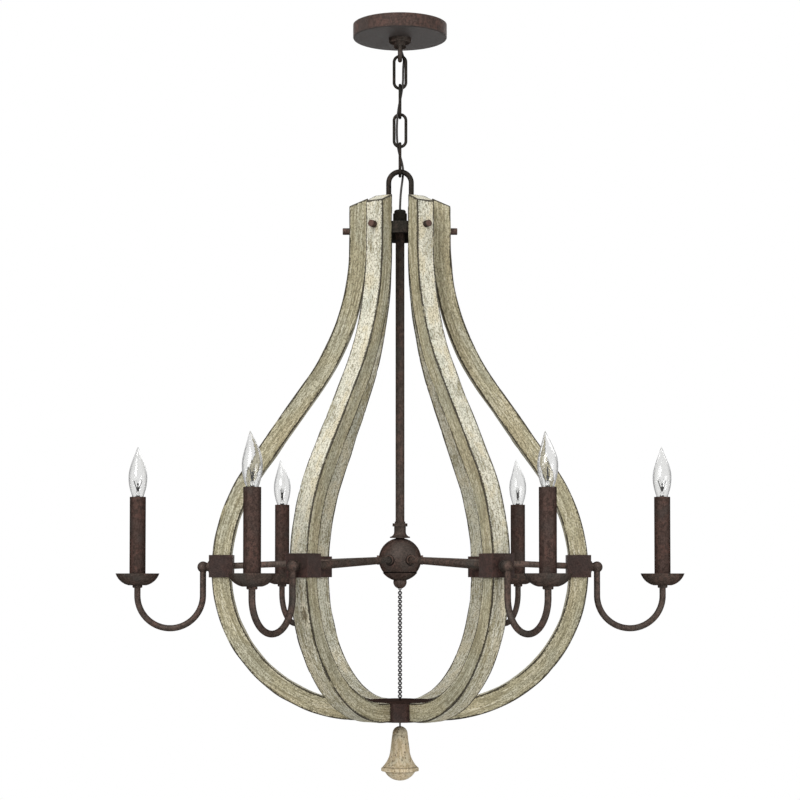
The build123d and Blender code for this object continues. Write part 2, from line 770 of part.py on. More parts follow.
def make_bottom_hub():
    """Open-topped drum that the stave ends meet, with a bored boss for the finial's pin."""
    hub = drum(bottom_hub_diameter, bottom_hub_flat, bottom_wall_top, bottom_hub_bottom)
    hub -= rod(bottom_hub_inner_diameter / 2, bottom_wall_top, bottom_hub_bottom + bottom_hub_floor)
    hub += rod(bottom_boss_diameter / 2, bottom_hub_bottom + bottom_boss_height, bottom_hub_bottom)
    hub -= rod(bottom_boss_bore / 2, bottom_wall_top, bottom_hub_bottom)
    hub -= Rot(0, 0, 90) * beam(
        finial_pin_diameter / 2 + bore_clearance, -bottom_boss_diameter, bottom_boss_diameter, pin_z
    )
    hole = end_screw_diameter / 2 + bore_clearance
    return hub - all_round(beam(hole, bottom_boss_diameter, bottom_hub_diameter, end_screw_z))


def make_bottom_cover():
    """Plate on the bottom hub with the eye that the fine chain ends in."""
    cover = drum(bottom_hub_diameter, bottom_hub_flat, bottom_hub_top, bottom_wall_top)
    eye = Pos(0, 0, bottom_hub_top) * upper_bend(fine_wire, fine_eye_bend)
    for side in (-1, 1):
        eye += rod(fine_wire / 2, bottom_hub_top, bottom_wall_top, x=side * fine_eye_bend)
    return cover + Rot(0, 0, 90 * ((fine_count + 1) % 2)) * eye


def make_end_screw():
    """Screw from inside the bottom hub into a stave's end."""
    head_face = bottom_hub_inner_diameter / 2 - end_screw_seat_gap
    shank_end = bottom_hub_flat + end_screw_length
    head_start = head_face - end_screw_head_height
    head = beam(end_screw_head_diameter / 2, head_start, head_face, end_screw_z)
    return head + beam(end_screw_diameter / 2, head_start, shank_end, end_screw_z)


def make_finial_pin():
    """Pin across the boss that the finial's eye hangs on."""
    reach = bottom_boss_diameter / 2
    return Rot(0, 0, 90) * beam(finial_pin_diameter / 2, -reach, reach, pin_z)


def finial_shank(radius):
    """Upright stretch of the finial's eye."""
    ring_radius = finial_pin_diameter / 2 + slide_clearance + finial_eye_wire / 2
    return rod(radius, pin_z - ring_radius, finial_top - finial_eye_depth)


def make_finial_eye():
    """Screw eye round the pin, with its shank in the finial."""
    ring_radius = finial_pin_diameter / 2 + slide_clearance + finial_eye_wire / 2
    ring = Pos(0, 0, pin_z) * Rot(90, 0, 0) * Torus(ring_radius, finial_eye_wire / 2)
    return ring + finial_shank(finial_eye_wire / 2)


def make_finial():
    """Bell-shaped turned drop with a rimmed edge and a round underside."""
    dome = finial_dome_radius
    rim = finial_rim_diameter / 2
    dome_arc = JernArc((0, finial_top), (1, 0), dome, -90)
    waist = Line(dome_arc @ 1, (finial_waist_radius, finial_top - finial_waist_drop))
    rim_top = finial_top - finial_rim_top_drop
    flare = TangentArc(waist @ 1, (finial_flare_radius, rim_top), tangent=waist % 1)
    edge_top = rim_top - finial_rim_bevel
    edge_low = edge_top - finial_rim_height
    bowl_top = finial_top - finial_bowl_drop
    bottom = finial_top - finial_length
    edge = Polyline(flare @ 1, (rim, edge_top), (rim, edge_low), (finial_bowl_radius, bowl_top))
    bowl = TangentArc((0, bottom), (finial_bowl_radius, bowl_top), tangent=(1, 0))
    axis_line = Line((0, bottom), (0, finial_top))
    solid = turned(Curve() + [dome_arc, waist, flare, edge, bowl, axis_line])
    return solid - finial_shank(finial_eye_wire / 2 + bore_clearance)


def make_fine_chain():
    """Small round links, each turned a quarter from the last."""
    links = []
    for i in range(fine_count):
        centre = knob_eye_z + fine_step - i * (fine_height - fine_step) - fine_height / 2
        turn = Rot(0, 0, 90 * ((i + 1) % 2)) * Rot(90, 0, 0)
        links.append(Pos(0, 0, centre) * turn * Torus(fine_height / 2, fine_wire / 2))
    return links


def save(name, shape):
    """Write one named piece, or a group of equal pieces, to its own file."""
    if isinstance(shape, list):
        shape = Compound(children=shape)
    export_step(shape, os.path.join("parts", name + ".step"))


os.makedirs("parts", exist_ok=True)

save("crossbar", make_crossbar())
save("nipple", make_nipple())
save("nipple_nut", make_nipple_nut())
save("canopy_loop", make_canopy_loop())
save("canopy", make_canopy())
save("canopy_ring", make_canopy_ring())
for number in range(link_count):
    save(f"chain_link_{number + 1}", make_chain_link(number))
save("supply_cord", make_supply_cord())
save("top_loop", make_top_loop())
save("wire_cap", make_wire_cap())
save("top_hub", make_top_hub())
save("stave_bolts", all_round(make_bolt()))
save("center_rod", make_center_rod())
save("hub_collar", make_hub_collar())
save("hub_shell", make_hub_shell())
save("hub_cap", make_hub_cap())
save("hub_knob", make_hub_knob())
save("terminal_block", make_terminal_block())
save("hub_arms", all_round(make_hub_arm()))
save("stave_clamps", all_round(make_clamp()))
save("arm_collars", all_round(make_arm_collar()))
save("lamp_leads", all_round(make_lamp_lead()))
save("bobeches", all_round(make_bobeche()))
save("bobeche_nuts", all_round(make_bobeche_nut()))
save("candle_sleeves", all_round(make_sleeve()))
save("sockets", all_round(make_socket()))
save("bottom_hub", make_bottom_hub())
save("bottom_cover", make_bottom_cover())
save("end_screws", all_round(make_end_screw()))
save("finial_pin", make_finial_pin())
save("finial_eye", make_finial_eye())
save("finial", make_finial())
save("fine_chain", make_fine_chain())

per_stave = {
    "stave": make_stave(),
    "candle_arm": make_candle_arm(),
    "bulb_base": make_bulb_base(),
    "bulb_glass": make_bulb_glass(),
}
for name, shape in per_stave.items():
    for number, copy in enumerate(all_round(shape), start=1):
        save(f"{name}_{number}", copy)

print("chain pivots", [round(z, 2) for z in pivot_heights])
print("hub top", round(hub_top, 2), "belt", round(belt_radius, 2), round(belt_z, 2))
print("hub centre", round(hub_z, 2), "arm fall", round(degrees(arm_fall), 3))
print("elbow", round(elbow_radius, 2), round(elbow_z, 2), "candle", round(candle_radius, 2))
print("sleeve top", round(sleeve_top, 2), "bulb base top", round(bulb_base_top, 2))
print("bobeche", round(bobeche_bottom, 2), "arm turn", round(arm_turn_z, 2))
print("finial pin", round(pin_z, 2), "finial", round(finial_top, 2), round(finial_top - finial_length, 2))
print("fine links", fine_count, "height", round(fine_height, 3))
print("candle spread", round(2 * candle_radius + bobeche_diameter, 1))
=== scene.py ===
import json
from functools import reduce
from math import atan, pi, radians, tau

import bpy
import numpy as np
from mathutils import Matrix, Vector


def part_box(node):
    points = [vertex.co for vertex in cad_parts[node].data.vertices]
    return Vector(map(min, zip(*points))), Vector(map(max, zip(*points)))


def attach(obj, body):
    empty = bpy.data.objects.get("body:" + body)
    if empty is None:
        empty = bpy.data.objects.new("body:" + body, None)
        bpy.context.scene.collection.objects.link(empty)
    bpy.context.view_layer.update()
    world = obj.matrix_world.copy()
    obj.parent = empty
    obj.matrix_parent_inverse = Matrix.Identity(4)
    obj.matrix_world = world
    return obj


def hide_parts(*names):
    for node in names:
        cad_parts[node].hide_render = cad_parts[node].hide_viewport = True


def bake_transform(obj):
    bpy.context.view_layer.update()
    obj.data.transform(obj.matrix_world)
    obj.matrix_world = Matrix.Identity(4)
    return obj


# Chandelier of six curved, limed staves round a rust-brown iron frame with six candle lights.
# Metres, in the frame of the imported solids: +Z up, the origin on the ceiling.

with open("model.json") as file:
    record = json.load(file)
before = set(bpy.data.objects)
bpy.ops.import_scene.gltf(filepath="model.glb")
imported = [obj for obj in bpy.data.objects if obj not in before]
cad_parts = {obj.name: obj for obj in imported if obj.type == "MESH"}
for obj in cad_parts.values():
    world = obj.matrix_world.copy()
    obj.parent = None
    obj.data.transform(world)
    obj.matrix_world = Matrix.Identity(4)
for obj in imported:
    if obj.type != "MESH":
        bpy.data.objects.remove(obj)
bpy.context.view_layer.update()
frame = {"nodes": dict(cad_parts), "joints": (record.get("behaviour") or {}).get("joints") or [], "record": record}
nodes = frame["nodes"]
sides = range(1, 7)
links = range(1, 5)

# Staves: section, bevel, and the bends of the outer face from the top down
stave_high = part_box("stave_1")[1]
belt_radius = stave_high.x
stave_thickness = 0.0254
stave_width = 0.026
stave_edge_round = 0.001
stave_top_bevel = 0.011
stave_straight = 0.051
stave_flare_radius = 0.317
stave_slope = radians(35)
stave_slope_length = 0.1428
stave_shoulder_radius = 0.246
stave_bowl_radius = 0.1985
stave_foot = 0.047
stave_line_steps = 6000
stave_rows = 340
stave_top_shares = (0, 0.001)
stave_next_share = 0.003
face_columns = 28
corner_columns = 4
cap_shares = (0.93, 0.75, 0.5, 0.25)
cap_round_share = 0.6

# Relief of the staves: seeds for each, depths, and waves as a count, lengths and turns round the section
stave_seeds = 10
hewn_depth = 0.00022
hewn_waves = (12, (0.035, 0.13), (-3, 4))
grain_depth = 0.00013
grain_waves = (30, (0.09, 0.5), (14, 44))
chip_depth = 0.0012
chip_reach = 0.0034
chip_waves = (9, (0.006, 0.07), (0, 1))
chip_start = 0.75
chip_full = 2.1

# Lime on the staves: its share on each face, and what the outer face loses between two distances
lime_outer = 0.74
lime_outer_loss = 0.30
lime_fade = (0.42, 0.68)
lime_inner = 0.60
lime_side = 0.13
lime_cap = 0.9
grain_shift = 1.7

# Knots: stave, distance down the stave, place round the section from 0 to 1, length and width
knot_depth = 0.0007
knot_rings = 4.5
knot_far = 3.0
knots = [
    (5, 0.593, 0.935, 0.012, 0.0060),
    (1, 0.330, 0.300, 0.009, 0.0050),
    (2, 0.500, 0.800, 0.010, 0.0060),
    (3, 0.240, 0.300, 0.008, 0.0050),
    (4, 0.205, 0.940, 0.010, 0.0050),
    (6, 0.520, 0.130, 0.009, 0.0050),
]

# Supply cord: the route's points, with the runs inside the nipple and the rod kept straight
cord_diameter = 0.003
cord_route = [
    (0, 0, -0.0008),
    (0, 0, -0.0310),
    (0.0058, 0.0046, -0.0455),
    (0.0042, 0.0039, -0.0560),
    (0.00425, -0.00425, -0.0847),
    (-0.00425, -0.00425, -0.1245),
    (-0.00425, 0.00425, -0.1643),
    (0.0039, 0.0042, -0.1905),
    (0.0044, 0.0062, -0.2032),
    (0.0012, 0.0024, -0.2260),
    (0, 0, -0.2470),
    (0, 0, -0.2620),
    (0, 0, -0.3000),
    (0, 0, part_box("supply_cord")[0].z),
]
chain_bodies = ["ceiling_plate", *(f"link_{number}" for number in links), "fixture"]
chain_pivots = [joint["pos_m"][2] for joint in frame["joints"] if "deforming_nodes" in joint]
cord_line_steps = 16
cord_columns = 16
cord_rows = 40
cord_last_rows = 160

# Bulbs: flame glass with a bent tip, whose direction is in degrees for each bulb
bulb_wall = 0.0006
bulb_neck_radius = 0.0062
bulb_belly_radius = 0.0126
bulb_tip_radius = 0.0011
bulb_belly_share = 0.41
bulb_rise_power = 0.9
bulb_fall_power = 1.25
bulb_tip_power = 10
bulb_inner_share = 0.98
bulb_least_radius = 0.00005
bulb_least_inner = 0.00003
bulb_columns = 64
bulb_rows = 60
bulb_tip_bend = 0.0030
bulb_bend_shares = (0.55, 1.05)
bulb_bend_power = 1.3
bend_directions = {1: 250, 2: 200, 3: 160, 4: 275, 5: 215, 6: 180}

# Inside a bulb, with heights above the glass's foot: stem and beads as heights and radii, two leads, a prop
# between them and the filament
stem_outline = [
    (0.0006, 0.0046), (0.0030, 0.0036), (0.0055, 0.0024), (0.0068, 0.0026),
    (0.0085, 0.0028), (0.0100, 0.0024), (0.0112, 0.0012), (0.0116, 0.0003),
]
stem_columns = 24
beads = [(0.0148, 0.0019), (0.0200, 0.0012)]
bead_stretch = 1.3
bead_pole = 0.02
bead_rows = 12
bead_columns = 14
lead_foot = 0.0098
lead_length = 0.0150
lead_radius = 0.0006
lead_start = 0.0011
lead_spread = 0.0036
lead_spread_from = 0.05
lead_hook = 0.0008
lead_hook_from = 0.9
prop_foot = 0.0105
prop_length = 0.0098
prop_radius = 0.00055
lead_rows = 14
lead_columns = 8
lead_aside = (0.3, 0.2, 0.0)
filament_height = 0.0246
filament_half = 0.0052
filament_sag = 0.0046
filament_waves = 1.5
filament_coil = 0.0005
filament_turns = 5
filament_radius = 0.00016
filament_rows = 160
filament_columns = 6
filament_aside = (0.2, 0.1, 1.0)

# Screw base, with heights above its foot: insulator and contact as heights and radii
base_rows = 120
base_columns = 48
thread_pitch = 0.00254
thread_depth = 0.00055
thread_run_in = (0.0, 0.10)
thread_run_out = (0.86, 0.76)
skirt_share = 0.88
skirt_inset = 0.0001
shell_end_share = 0.93
insulator_height = 0.0040
insulator_insets = [(insulator_height, 0.0010), (0.0030, 0.0012)]
insulator_cone = [(0.0018, 0.0032), (0.0012, 0.0026)]
insulator_columns = 32
contact_outline = [(0.0016, 0.0025), (0.0010, 0.0025), (0.0004, 0.0022), (0.0001, 0.0013), (0.0, 0.0002)]
contact_columns = 28

# Turned drop, with depths below its top: radius and depth of each bend, and the rim as steps from its radius
drop_low, drop_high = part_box("finial")
drop_columns = 160
drop_rows = 150
drop_dome = 0.0102
drop_dome_start = 88
drop_waist = (0.0132, 0.0340)
drop_waist_heading = (0.003, -0.0238)
drop_flare = (0.0240, 0.0546)
drop_rim = [(-0.0006, 0.0551), (0, 0.0558), (0.0001, 0.0574), (0, 0.0592), (-0.0008, 0.0597)]
drop_under = [(0.0212, 0.0604), (0.0203, 0.0606)]
drop_tip_radius = 0.0003
drop_least_radius = 0.0001
dome_steps = 24
flare_steps = 30
under_steps = 26

# Grooves of the drop: depth below its top, width and strength of each, and the marks of the tool
drop_grooves = [(0.0541, 0.00045, 1.0), (0.0609, 0.0004, 1.0), (0.0115, 0.0004, 0.4)]
groove_depth = 0.0006
groove_fade = 0.004
tool_pitch = 0.0011
tool_depth = 0.00006
tool_fade = 0.006
uneven_seed = 90
uneven_depth = 0.00012
uneven_waves = (14, (0.008, 0.04), (1, 9))

# Fine chain: wire of the solid rings, bolder wire as seen, growth of the seen rings' middle line, spacing
ring_wire = 0.0009
ring_visible_wire = 0.0015
ring_visible_growth = 0.0004
ring_pitch = 0.00285
ring_rows = 28
ring_columns = 10

# Hub ball, and the arms from it: tube, ring on the ball, and fall below level
ball_radius = 0.0285
ball_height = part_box("hub_shell")[1].z - ball_radius
arm_radius = 0.0042
arm_ring_radius = 0.0063
arm_fall = radians(2.296)

# Iron: how bright it shines where it turns away, and marks, painted shade and highlights among them, each as two
# steps from the edge that it follows
dark_edge = 0.02
underside_fade = (0.0017, 0.0008)
seam_fade = (0.0010, 0.0004)
arm_end_fade = (0.003, 0.005)
ring_line_fade = (0.0016, 0.0006)
gap_inner_fade = (0.00005, 0.0002)
gap_outer_fade = (-0.0008, -0.0012)
rim_inner_fade = (-0.0007, -0.0002)
rim_outer_fade = (0.0010, 0.0005)
bolt_end_fade = (-0.0009, -0.0003)

# Floor, and how much of it the camera sees as plain white
floor_radius = 9.0
floor_height = -3.2
floor_corners = 180
floor_white = 0.85

# Light: level from all round, and lamps as place, size in metres and power in watts
room_light = 0.34
lamp_aim = (0, 0, -0.55)
lamps = {
    "key": ((-1.9, -3.9, 1.0), 2.0, 118),
    "fill": ((2.5, -2.6, -1.1), 2.0, 46),
    "back": ((0.6, 2.2, 0.6), 2.0, 14),
    "top": ((-0.3, -0.9, 1.5), 1.6, 26),
}

# Camera, from the photograph's frame of 800 pixels
photo_size = 800
focal_pixels = 2010
eye_row = 575
shift_rows = 100
eye_distance = 2.70
eye_drop = 0.0206
sensor_width = 36


def side_turn(number):
    """Angle of a stave, arm or candle round the axis, with the first along X."""
    return radians(360 / len(sides) * (number - 1))


def smooth(low, high, value):
    """Smooth step: 0 below low, 1 above high, and three t squared less two t cubed between them."""
    t = np.clip((value - low) / (high - low), 0, 1)
    return t * t * (3 - 2 * t)


def ripples(seed, along, share, count, lengths, turns):
    """Sum of sine waves with random lengths along, whole turns round and random phases, about -1 to 1."""
    draw = np.random.default_rng(seed)
    total = 0.0
    for _ in range(count):
        length = draw.uniform(*lengths)
        turn = draw.integers(*turns)
        phase = draw.uniform(0, tau)
        total = total + np.sin(tau * (along / length + turn * share) + phase)
    return total / np.sqrt(count)


def skin(points, **marks):
    """Closed skin over a grid whose columns meet, with each end row drawn to a pole at its middle.

    Returns the vertices, the faces as arrays of corners, and the marks, one value or vector a vertex. The
    sign of the volume tells whether the faces have to be turned outwards.
    """
    rows, columns = points.shape[:2]
    index = np.arange(rows * columns).reshape(rows, columns)
    after = np.roll(index, -1, axis=1)
    quads = np.stack([index[:-1], after[:-1], after[1:], index[1:]], axis=-1).reshape(-1, 4)
    first, last = rows * columns, rows * columns + 1
    ends = [
        np.stack([after[0], index[0], np.full(columns, first)], axis=-1),
        np.stack([index[-1], after[-1], np.full(columns, last)], axis=-1),
    ]

    def with_poles(values):
        flat = values.reshape(rows * columns, -1)
        return np.vstack([flat, flat[:columns].mean(0), flat[-columns:].mean(0)])

    vertices = with_poles(points)
    faces = [quads, np.vstack(ends)]
    corners = np.vstack([quads[:, [0, 1, 2]], quads[:, [0, 2, 3]], faces[1]])
    a, b, c = (vertices[corners[:, i]] for i in range(3))
    if np.einsum("ij,ij->", a, np.cross(b, c)) < 0:
        faces = [face[:, ::-1] for face in faces]
    return vertices, faces, {name: with_poles(values) for name, values in marks.items()}


def loop(points):
    """Closed skin over a grid whose columns meet and whose rows meet, turned outwards in the same way."""
    rows, columns = points.shape[:2]
    index = np.arange(rows * columns).reshape(rows, columns)
    after = np.roll(index, -1, axis=1)
    corners = [index, after, np.roll(after, -1, axis=0), np.roll(index, -1, axis=0)]
    quads = np.stack(corners, axis=-1).reshape(-1, 4)
    vertices = points.reshape(-1, 3)
    a, b, c = (vertices[quads[:, i]] - vertices.mean(0) for i in range(3))
    if np.einsum("ij,ij->", a, np.cross(b, c)) < 0:
        quads = quads[:, ::-1]
    return vertices, [quads], {}


def add(name, data):
    """Object in the scene for a mesh, a curve, a lamp or a camera."""
    made = bpy.data.objects.new(name, data)
    bpy.context.scene.collection.objects.link(made)
    return made


def piece(name, skins, finish, body=None):
    """One object from one or more skins, with its finish and the body that it rides on."""
    start = 0
    vertices, faces, marks = [], [], {}
    for skin_vertices, skin_faces, skin_marks in skins:
        vertices.append(skin_vertices)
        faces += [row for face in skin_faces for row in (face + start).tolist()]
        start += len(skin_vertices)
        for mark, values in skin_marks.items():
            marks.setdefault(mark, []).append(values)
    mesh = bpy.data.meshes.new(name)
    mesh.from_pydata(np.vstack(vertices).tolist(), [], faces)
    for mark, values in marks.items():
        values = np.vstack(values).astype(np.float32)
        kind, field = ("FLOAT_VECTOR", "vector") if values.shape[1] == 3 else ("FLOAT", "value")
        mesh.attributes.new(mark, kind, "POINT").data.foreach_set(field, values.ravel())
    mesh.polygons.foreach_set("use_smooth", np.ones(len(mesh.polygons), bool))
    mesh.materials.append(finish)
    made = add(name, mesh)
    if body:
        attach(made, body)
    return made


def turned(radius, height, columns, centre=(0.0, 0.0)):
    """Grid of an outline turned about an upright axis: a radius and a height a row."""
    angle = np.linspace(0, tau, columns, endpoint=False)
    radius = np.asarray(radius).reshape(len(height), -1)
    height = np.broadcast_to(np.asarray(height).reshape(len(radius), -1), (len(radius), columns))
    return np.stack([centre[0] + radius * np.cos(angle), centre[1] + radius * np.sin(angle), height], axis=-1)


def turned_outline(outline, foot, columns, centre):
    """Closed skin of an outline, given as heights above a foot and radii, turned about an upright axis."""
    height, radius = np.array(outline).T
    return skin(turned(radius, foot + height, columns, centre))


def tube(path, radius, columns, aside=(1.0, 0.0, 0.0)):
    """Grid of a circle carried along a path, with its first direction square to aside and to the path."""
    path = np.asarray(path, float)
    along = np.gradient(path, axis=0)
    along /= np.linalg.norm(along, axis=1, keepdims=True)
    across = np.cross(along, aside)
    across /= np.linalg.norm(across, axis=1, keepdims=True)
    other = np.cross(along, across)
    angle = np.linspace(0, tau, columns, endpoint=False)[None, :, None]
    return path[:, None] + radius * (np.cos(angle) * across[:, None] + np.sin(angle) * other[:, None])


def arc(centre, radius, start, end, steps):
    """Points on a circle, from one angle in degrees to another."""
    angle = np.radians(np.linspace(start, end, steps))
    return np.stack([centre[0] + radius * np.cos(angle), centre[1] + radius * np.sin(angle)], axis=1)


def tangent_arc(start, heading, end, steps):
    """Points on the circle that leaves start along heading and goes through end."""
    start, heading, end = (np.asarray(v, float) for v in (start, heading, end))
    side = np.array([-heading[1], heading[0]]) / np.linalg.norm(heading)
    reach = end - start
    radius = reach @ reach / (2 * reach @ side)
    centre = start + radius * side
    first = np.degrees(np.arctan2(*(start - centre)[::-1]))
    last = np.degrees(np.arctan2(*(end - centre)[::-1]))
    last += 360 * (first - last > 180) - 360 * (last - first > 180)
    return arc(centre, abs(radius), first, last, steps)


class Wire:
    """An output of a node. Arithmetic on it adds Math nodes to the nodes that it belongs to."""

    def __init__(self, nodes, socket):
        self.nodes = nodes
        self.socket = socket

    def math(self, operation, *values):
        return self.nodes.node("ShaderNodeMath", {"operation": operation}, dict(enumerate(values)))

    def __add__(self, other):
        return self.math("ADD", self, other)

    def __sub__(self, other):
        return self.math("SUBTRACT", self, other)

    def __rsub__(self, other):
        return self.math("SUBTRACT", other, self)

    def __mul__(self, other):
        return self.math("MULTIPLY", self, other)

    def __pow__(self, other):
        return self.math("POWER", self, other)

    def __lt__(self, other):
        return self.math("LESS_THAN", self, other)

    def most(self, other):
        return self.math("MAXIMUM", self, other)

    def least(self, other):
        return self.math("MINIMUM", self, other)

    __radd__ = __add__
    __rmul__ = __mul__


class Nodes:
    """The nodes of a material or of the world."""

    def __init__(self, owner):
        self.owner = owner
        owner.use_nodes = True
        self.tree = owner.node_tree
        self.tree.nodes.clear()

    def node(self, kind, settings=None, inputs=None, output=0):
        """Adds a node, makes its settings, then sets or links its inputs, and gives one output."""
        made = self.tree.nodes.new(kind)
        for key, value in (settings or {}).items():
            setattr(made, key, value)
        for key, value in (inputs or {}).items():
            if isinstance(value, Wire):
                self.tree.links.new(value.socket, made.inputs[key])
            else:
                made.inputs[key].default_value = value
        return Wire(self, made.outputs[output]) if made.outputs else None

    def seen(self):
        """1 for what the camera sees straight, in a gloss or through glass."""
        rays = [f"Is {kind} Ray" for kind in ("Camera", "Glossy", "Transmission")]
        return reduce(Wire.most, [self.node("ShaderNodeLightPath", output=ray) for ray in rays])


class Finish(Nodes):
    """A material and the nodes that make it."""

    def __init__(self, name):
        super().__init__(bpy.data.materials.new(name))

    def place(self):
        """Object coordinates."""
        return self.node("ShaderNodeTexCoord", output="Object")

    def height(self):
        """Height in Object coordinates."""
        return self.node("ShaderNodeSeparateXYZ", {}, {0: self.place()}, "Z")

    def vector(self, operation, first, second=None, output="Vector"):
        """Vector Math of one or two vectors."""
        inputs = {0: first} if second is None else {0: first, 1: second}
        return self.node("ShaderNodeVectorMath", {"operation": operation}, inputs, output)

    def mark(self, name, output="Fac"):
        """A value that the mesh holds at its vertices."""
        return self.node("ShaderNodeAttribute", {"attribute_name": name}, output=output)

    def noise(self, vector, scale, detail=3.0, roughness=0.55, distortion=0.0):
        """Smooth noise from 0 to 1, with a scale for each part of the vector."""
        inputs = {"Vector": self.vector("MULTIPLY", vector, scale), "Scale": 1.0, "Detail": detail,
                  "Roughness": roughness, "Distortion": distortion}
        return self.node("ShaderNodeTexNoise", {}, inputs)

    def cells(self, vector, scale):
        """Distance from the nearest of many scattered points."""
        inputs = {"Vector": self.vector("MULTIPLY", vector, scale), "Scale": 1.0}
        return self.node("ShaderNodeTexVoronoi", {}, inputs, "Distance")

    def band(self, value, low, high):
        """Smooth step of a value from 0 at low to 1 at high."""
        inputs = {"Value": value, "From Min": low, "From Max": high}
        return self.node("ShaderNodeMapRange", {"interpolation_type": "SMOOTHSTEP"}, inputs)

    def fade(self, value, edge, steps):
        """Smooth step of a value from 0 at the first step from an edge to 1 at the second."""
        return self.band(value, edge + steps[0], edge + steps[1])

    def mix(self, share, first, second):
        """Colour between two colours."""
        colours = [c if isinstance(c, Wire) else (*c, 1.0) for c in (first, second)]
        settings = {"data_type": "RGBA"}
        return self.node("ShaderNodeMix", settings, {0: share, 6: colours[0], 7: colours[1]}, 2)

    def bump(self, height, depth, strength=1.0):
        """Normal bent by a height from 0 to 1 that stands for a depth in metres."""
        return self.node("ShaderNodeBump", {}, {"Height": height, "Distance": depth, "Strength": strength})

    def surface(self, **inputs):
        """Principled surface, and the finished material."""
        inputs = {name.replace("_", " "): value for name, value in inputs.items()}
        shader = self.node("ShaderNodeBsdfPrincipled", {}, inputs)
        self.node("ShaderNodeOutputMaterial", {}, {"Surface": shader})
        return self.owner


def limed_wood():
    """Weathered wood: olive-tan grain in short dashes, lime rubbed into it and near black along its edges."""
    wood = Finish("limed_wood")
    grain = wood.mark("grain", "Vector")
    broad = wood.noise(grain, (150, 150, 7), 3, 0.6, 0.4)
    streak = wood.noise(grain, (520, 520, 20), 3, 0.65)
    dash = wood.noise(grain, (640, 640, 150), 2, 0.65)
    speck = wood.noise(grain, (560, 560, 380), 2, 0.7)
    blotch = wood.noise(grain, (60, 60, 24), 3, 0.6)
    cloud = wood.noise(grain, (26, 26, 9), 2)
    colour = wood.mix(wood.band(broad, 0.42, 0.58), (0.395, 0.358, 0.230), (0.512, 0.468, 0.318))
    colour = wood.mix(wood.band(cloud, 0.49, 0.62) * 0.55, colour, (0.490, 0.415, 0.260))
    colour = wood.mix(wood.band(cloud, 0.49, 0.36) * 0.45, colour, (0.420, 0.425, 0.340))
    colour = wood.mix(wood.band(streak, 0.48, 0.39) * 0.55, colour, (0.180, 0.152, 0.085))
    colour = wood.mix(wood.band(streak, 0.53, 0.62) * 0.50, colour, (0.680, 0.625, 0.460))
    colour = wood.mix(wood.band(dash, 0.48, 0.39) * 0.58, colour, (0.130, 0.108, 0.060))
    lime = wood.mark("lime") + (blotch - 0.5) * 1.5 + (dash - 0.5) * 1.5 + (streak - 0.5) * 1.4
    lime = wood.band(lime, 0.20, 0.80)
    tint = wood.mix(wood.band(blotch, 0.50, 0.60) * 0.75, (0.735, 0.710, 0.595), (0.610, 0.545, 0.385))
    tint = wood.mix(wood.band(blotch, 0.48, 0.38) * 0.75, tint, (0.520, 0.520, 0.450))
    colour = wood.mix(lime * 0.92, colour, tint)
    colour = wood.mix(wood.band(cloud, 0.47, 0.38) * lime * 0.35, colour, (0.520, 0.535, 0.450))
    knot = wood.mark("knot") + (speck - 0.5) * 0.8 + (dash - 0.5) * 1.2
    core = wood.band(knot, 0.85, 0.35)
    rim = wood.band(knot, 1.60, 1.25) * wood.band(knot, 0.85, 1.10)
    colour = wood.mix(core * 0.80, colour, (0.120, 0.085, 0.040))
    colour = wood.mix(rim * 0.75, colour, (0.780, 0.720, 0.560))
    specks = wood.band(speck, 0.51, 0.39)
    colour = wood.mix(specks * 0.74, colour, (0.165, 0.145, 0.088))
    # Near-black bands along every edge, left out in patches where the blotch noise is low.
    gap = wood.mark("edge_gap") + (streak - 0.5) * 0.0035 + (speck - 0.5) * 0.0035
    edge = wood.band(gap, 0.0024, 0.0013) * wood.band(blotch, 0.32, 0.41)
    colour = wood.mix(edge * 0.94, colour, (0.026, 0.020, 0.012))
    height = dash * 0.5 + streak * 0.3 + speck * 0.3 - edge * 0.3
    rough = 0.72 + streak * 0.14 - lime * 0.05
    return wood.surface(Base_Color=colour, Roughness=rough, Normal=wood.bump(height, 0.0010),
                        Specular_IOR_Level=0.22)


def turned_wood():
    """The drop's tan wood: fine upright grain, dark pits and dark grooves."""
    wood = Finish("turned_wood")
    place = wood.place()
    grain = wood.noise(place, (300, 300, 70), 3, 0.6, 0.3)
    speck = wood.noise(place, (520, 520, 360), 2, 0.7)
    cloud = wood.noise(place, (70, 70, 60), 2)
    pit = wood.cells(place, (210, 210, 170))
    colour = wood.mix(wood.band(grain, 0.42, 0.58), (0.470, 0.375, 0.230), (0.640, 0.535, 0.370))
    colour = wood.mix(wood.band(cloud, 0.50, 0.62) * 0.6, colour, (0.590, 0.540, 0.400))
    groove = wood.mark("groove")
    colour = wood.mix(groove * 0.75, colour, (0.110, 0.080, 0.045))
    pits = wood.band(pit, 0.30, 0.16) * wood.band(cloud, 0.42, 0.52)
    colour = wood.mix(pits * 0.75, colour, (0.110, 0.080, 0.048))
    specks = wood.band(speck, 0.46, 0.37)
    colour = wood.mix(specks * 0.60, colour, (0.170, 0.130, 0.075))
    height = grain * 0.4 + speck * 0.4 - pits * 0.5
    return wood.surface(Base_Color=colour, Roughness=0.68 + speck * 0.14, Normal=wood.bump(height, 0.0008),
                        Specular_IOR_Level=0.22)


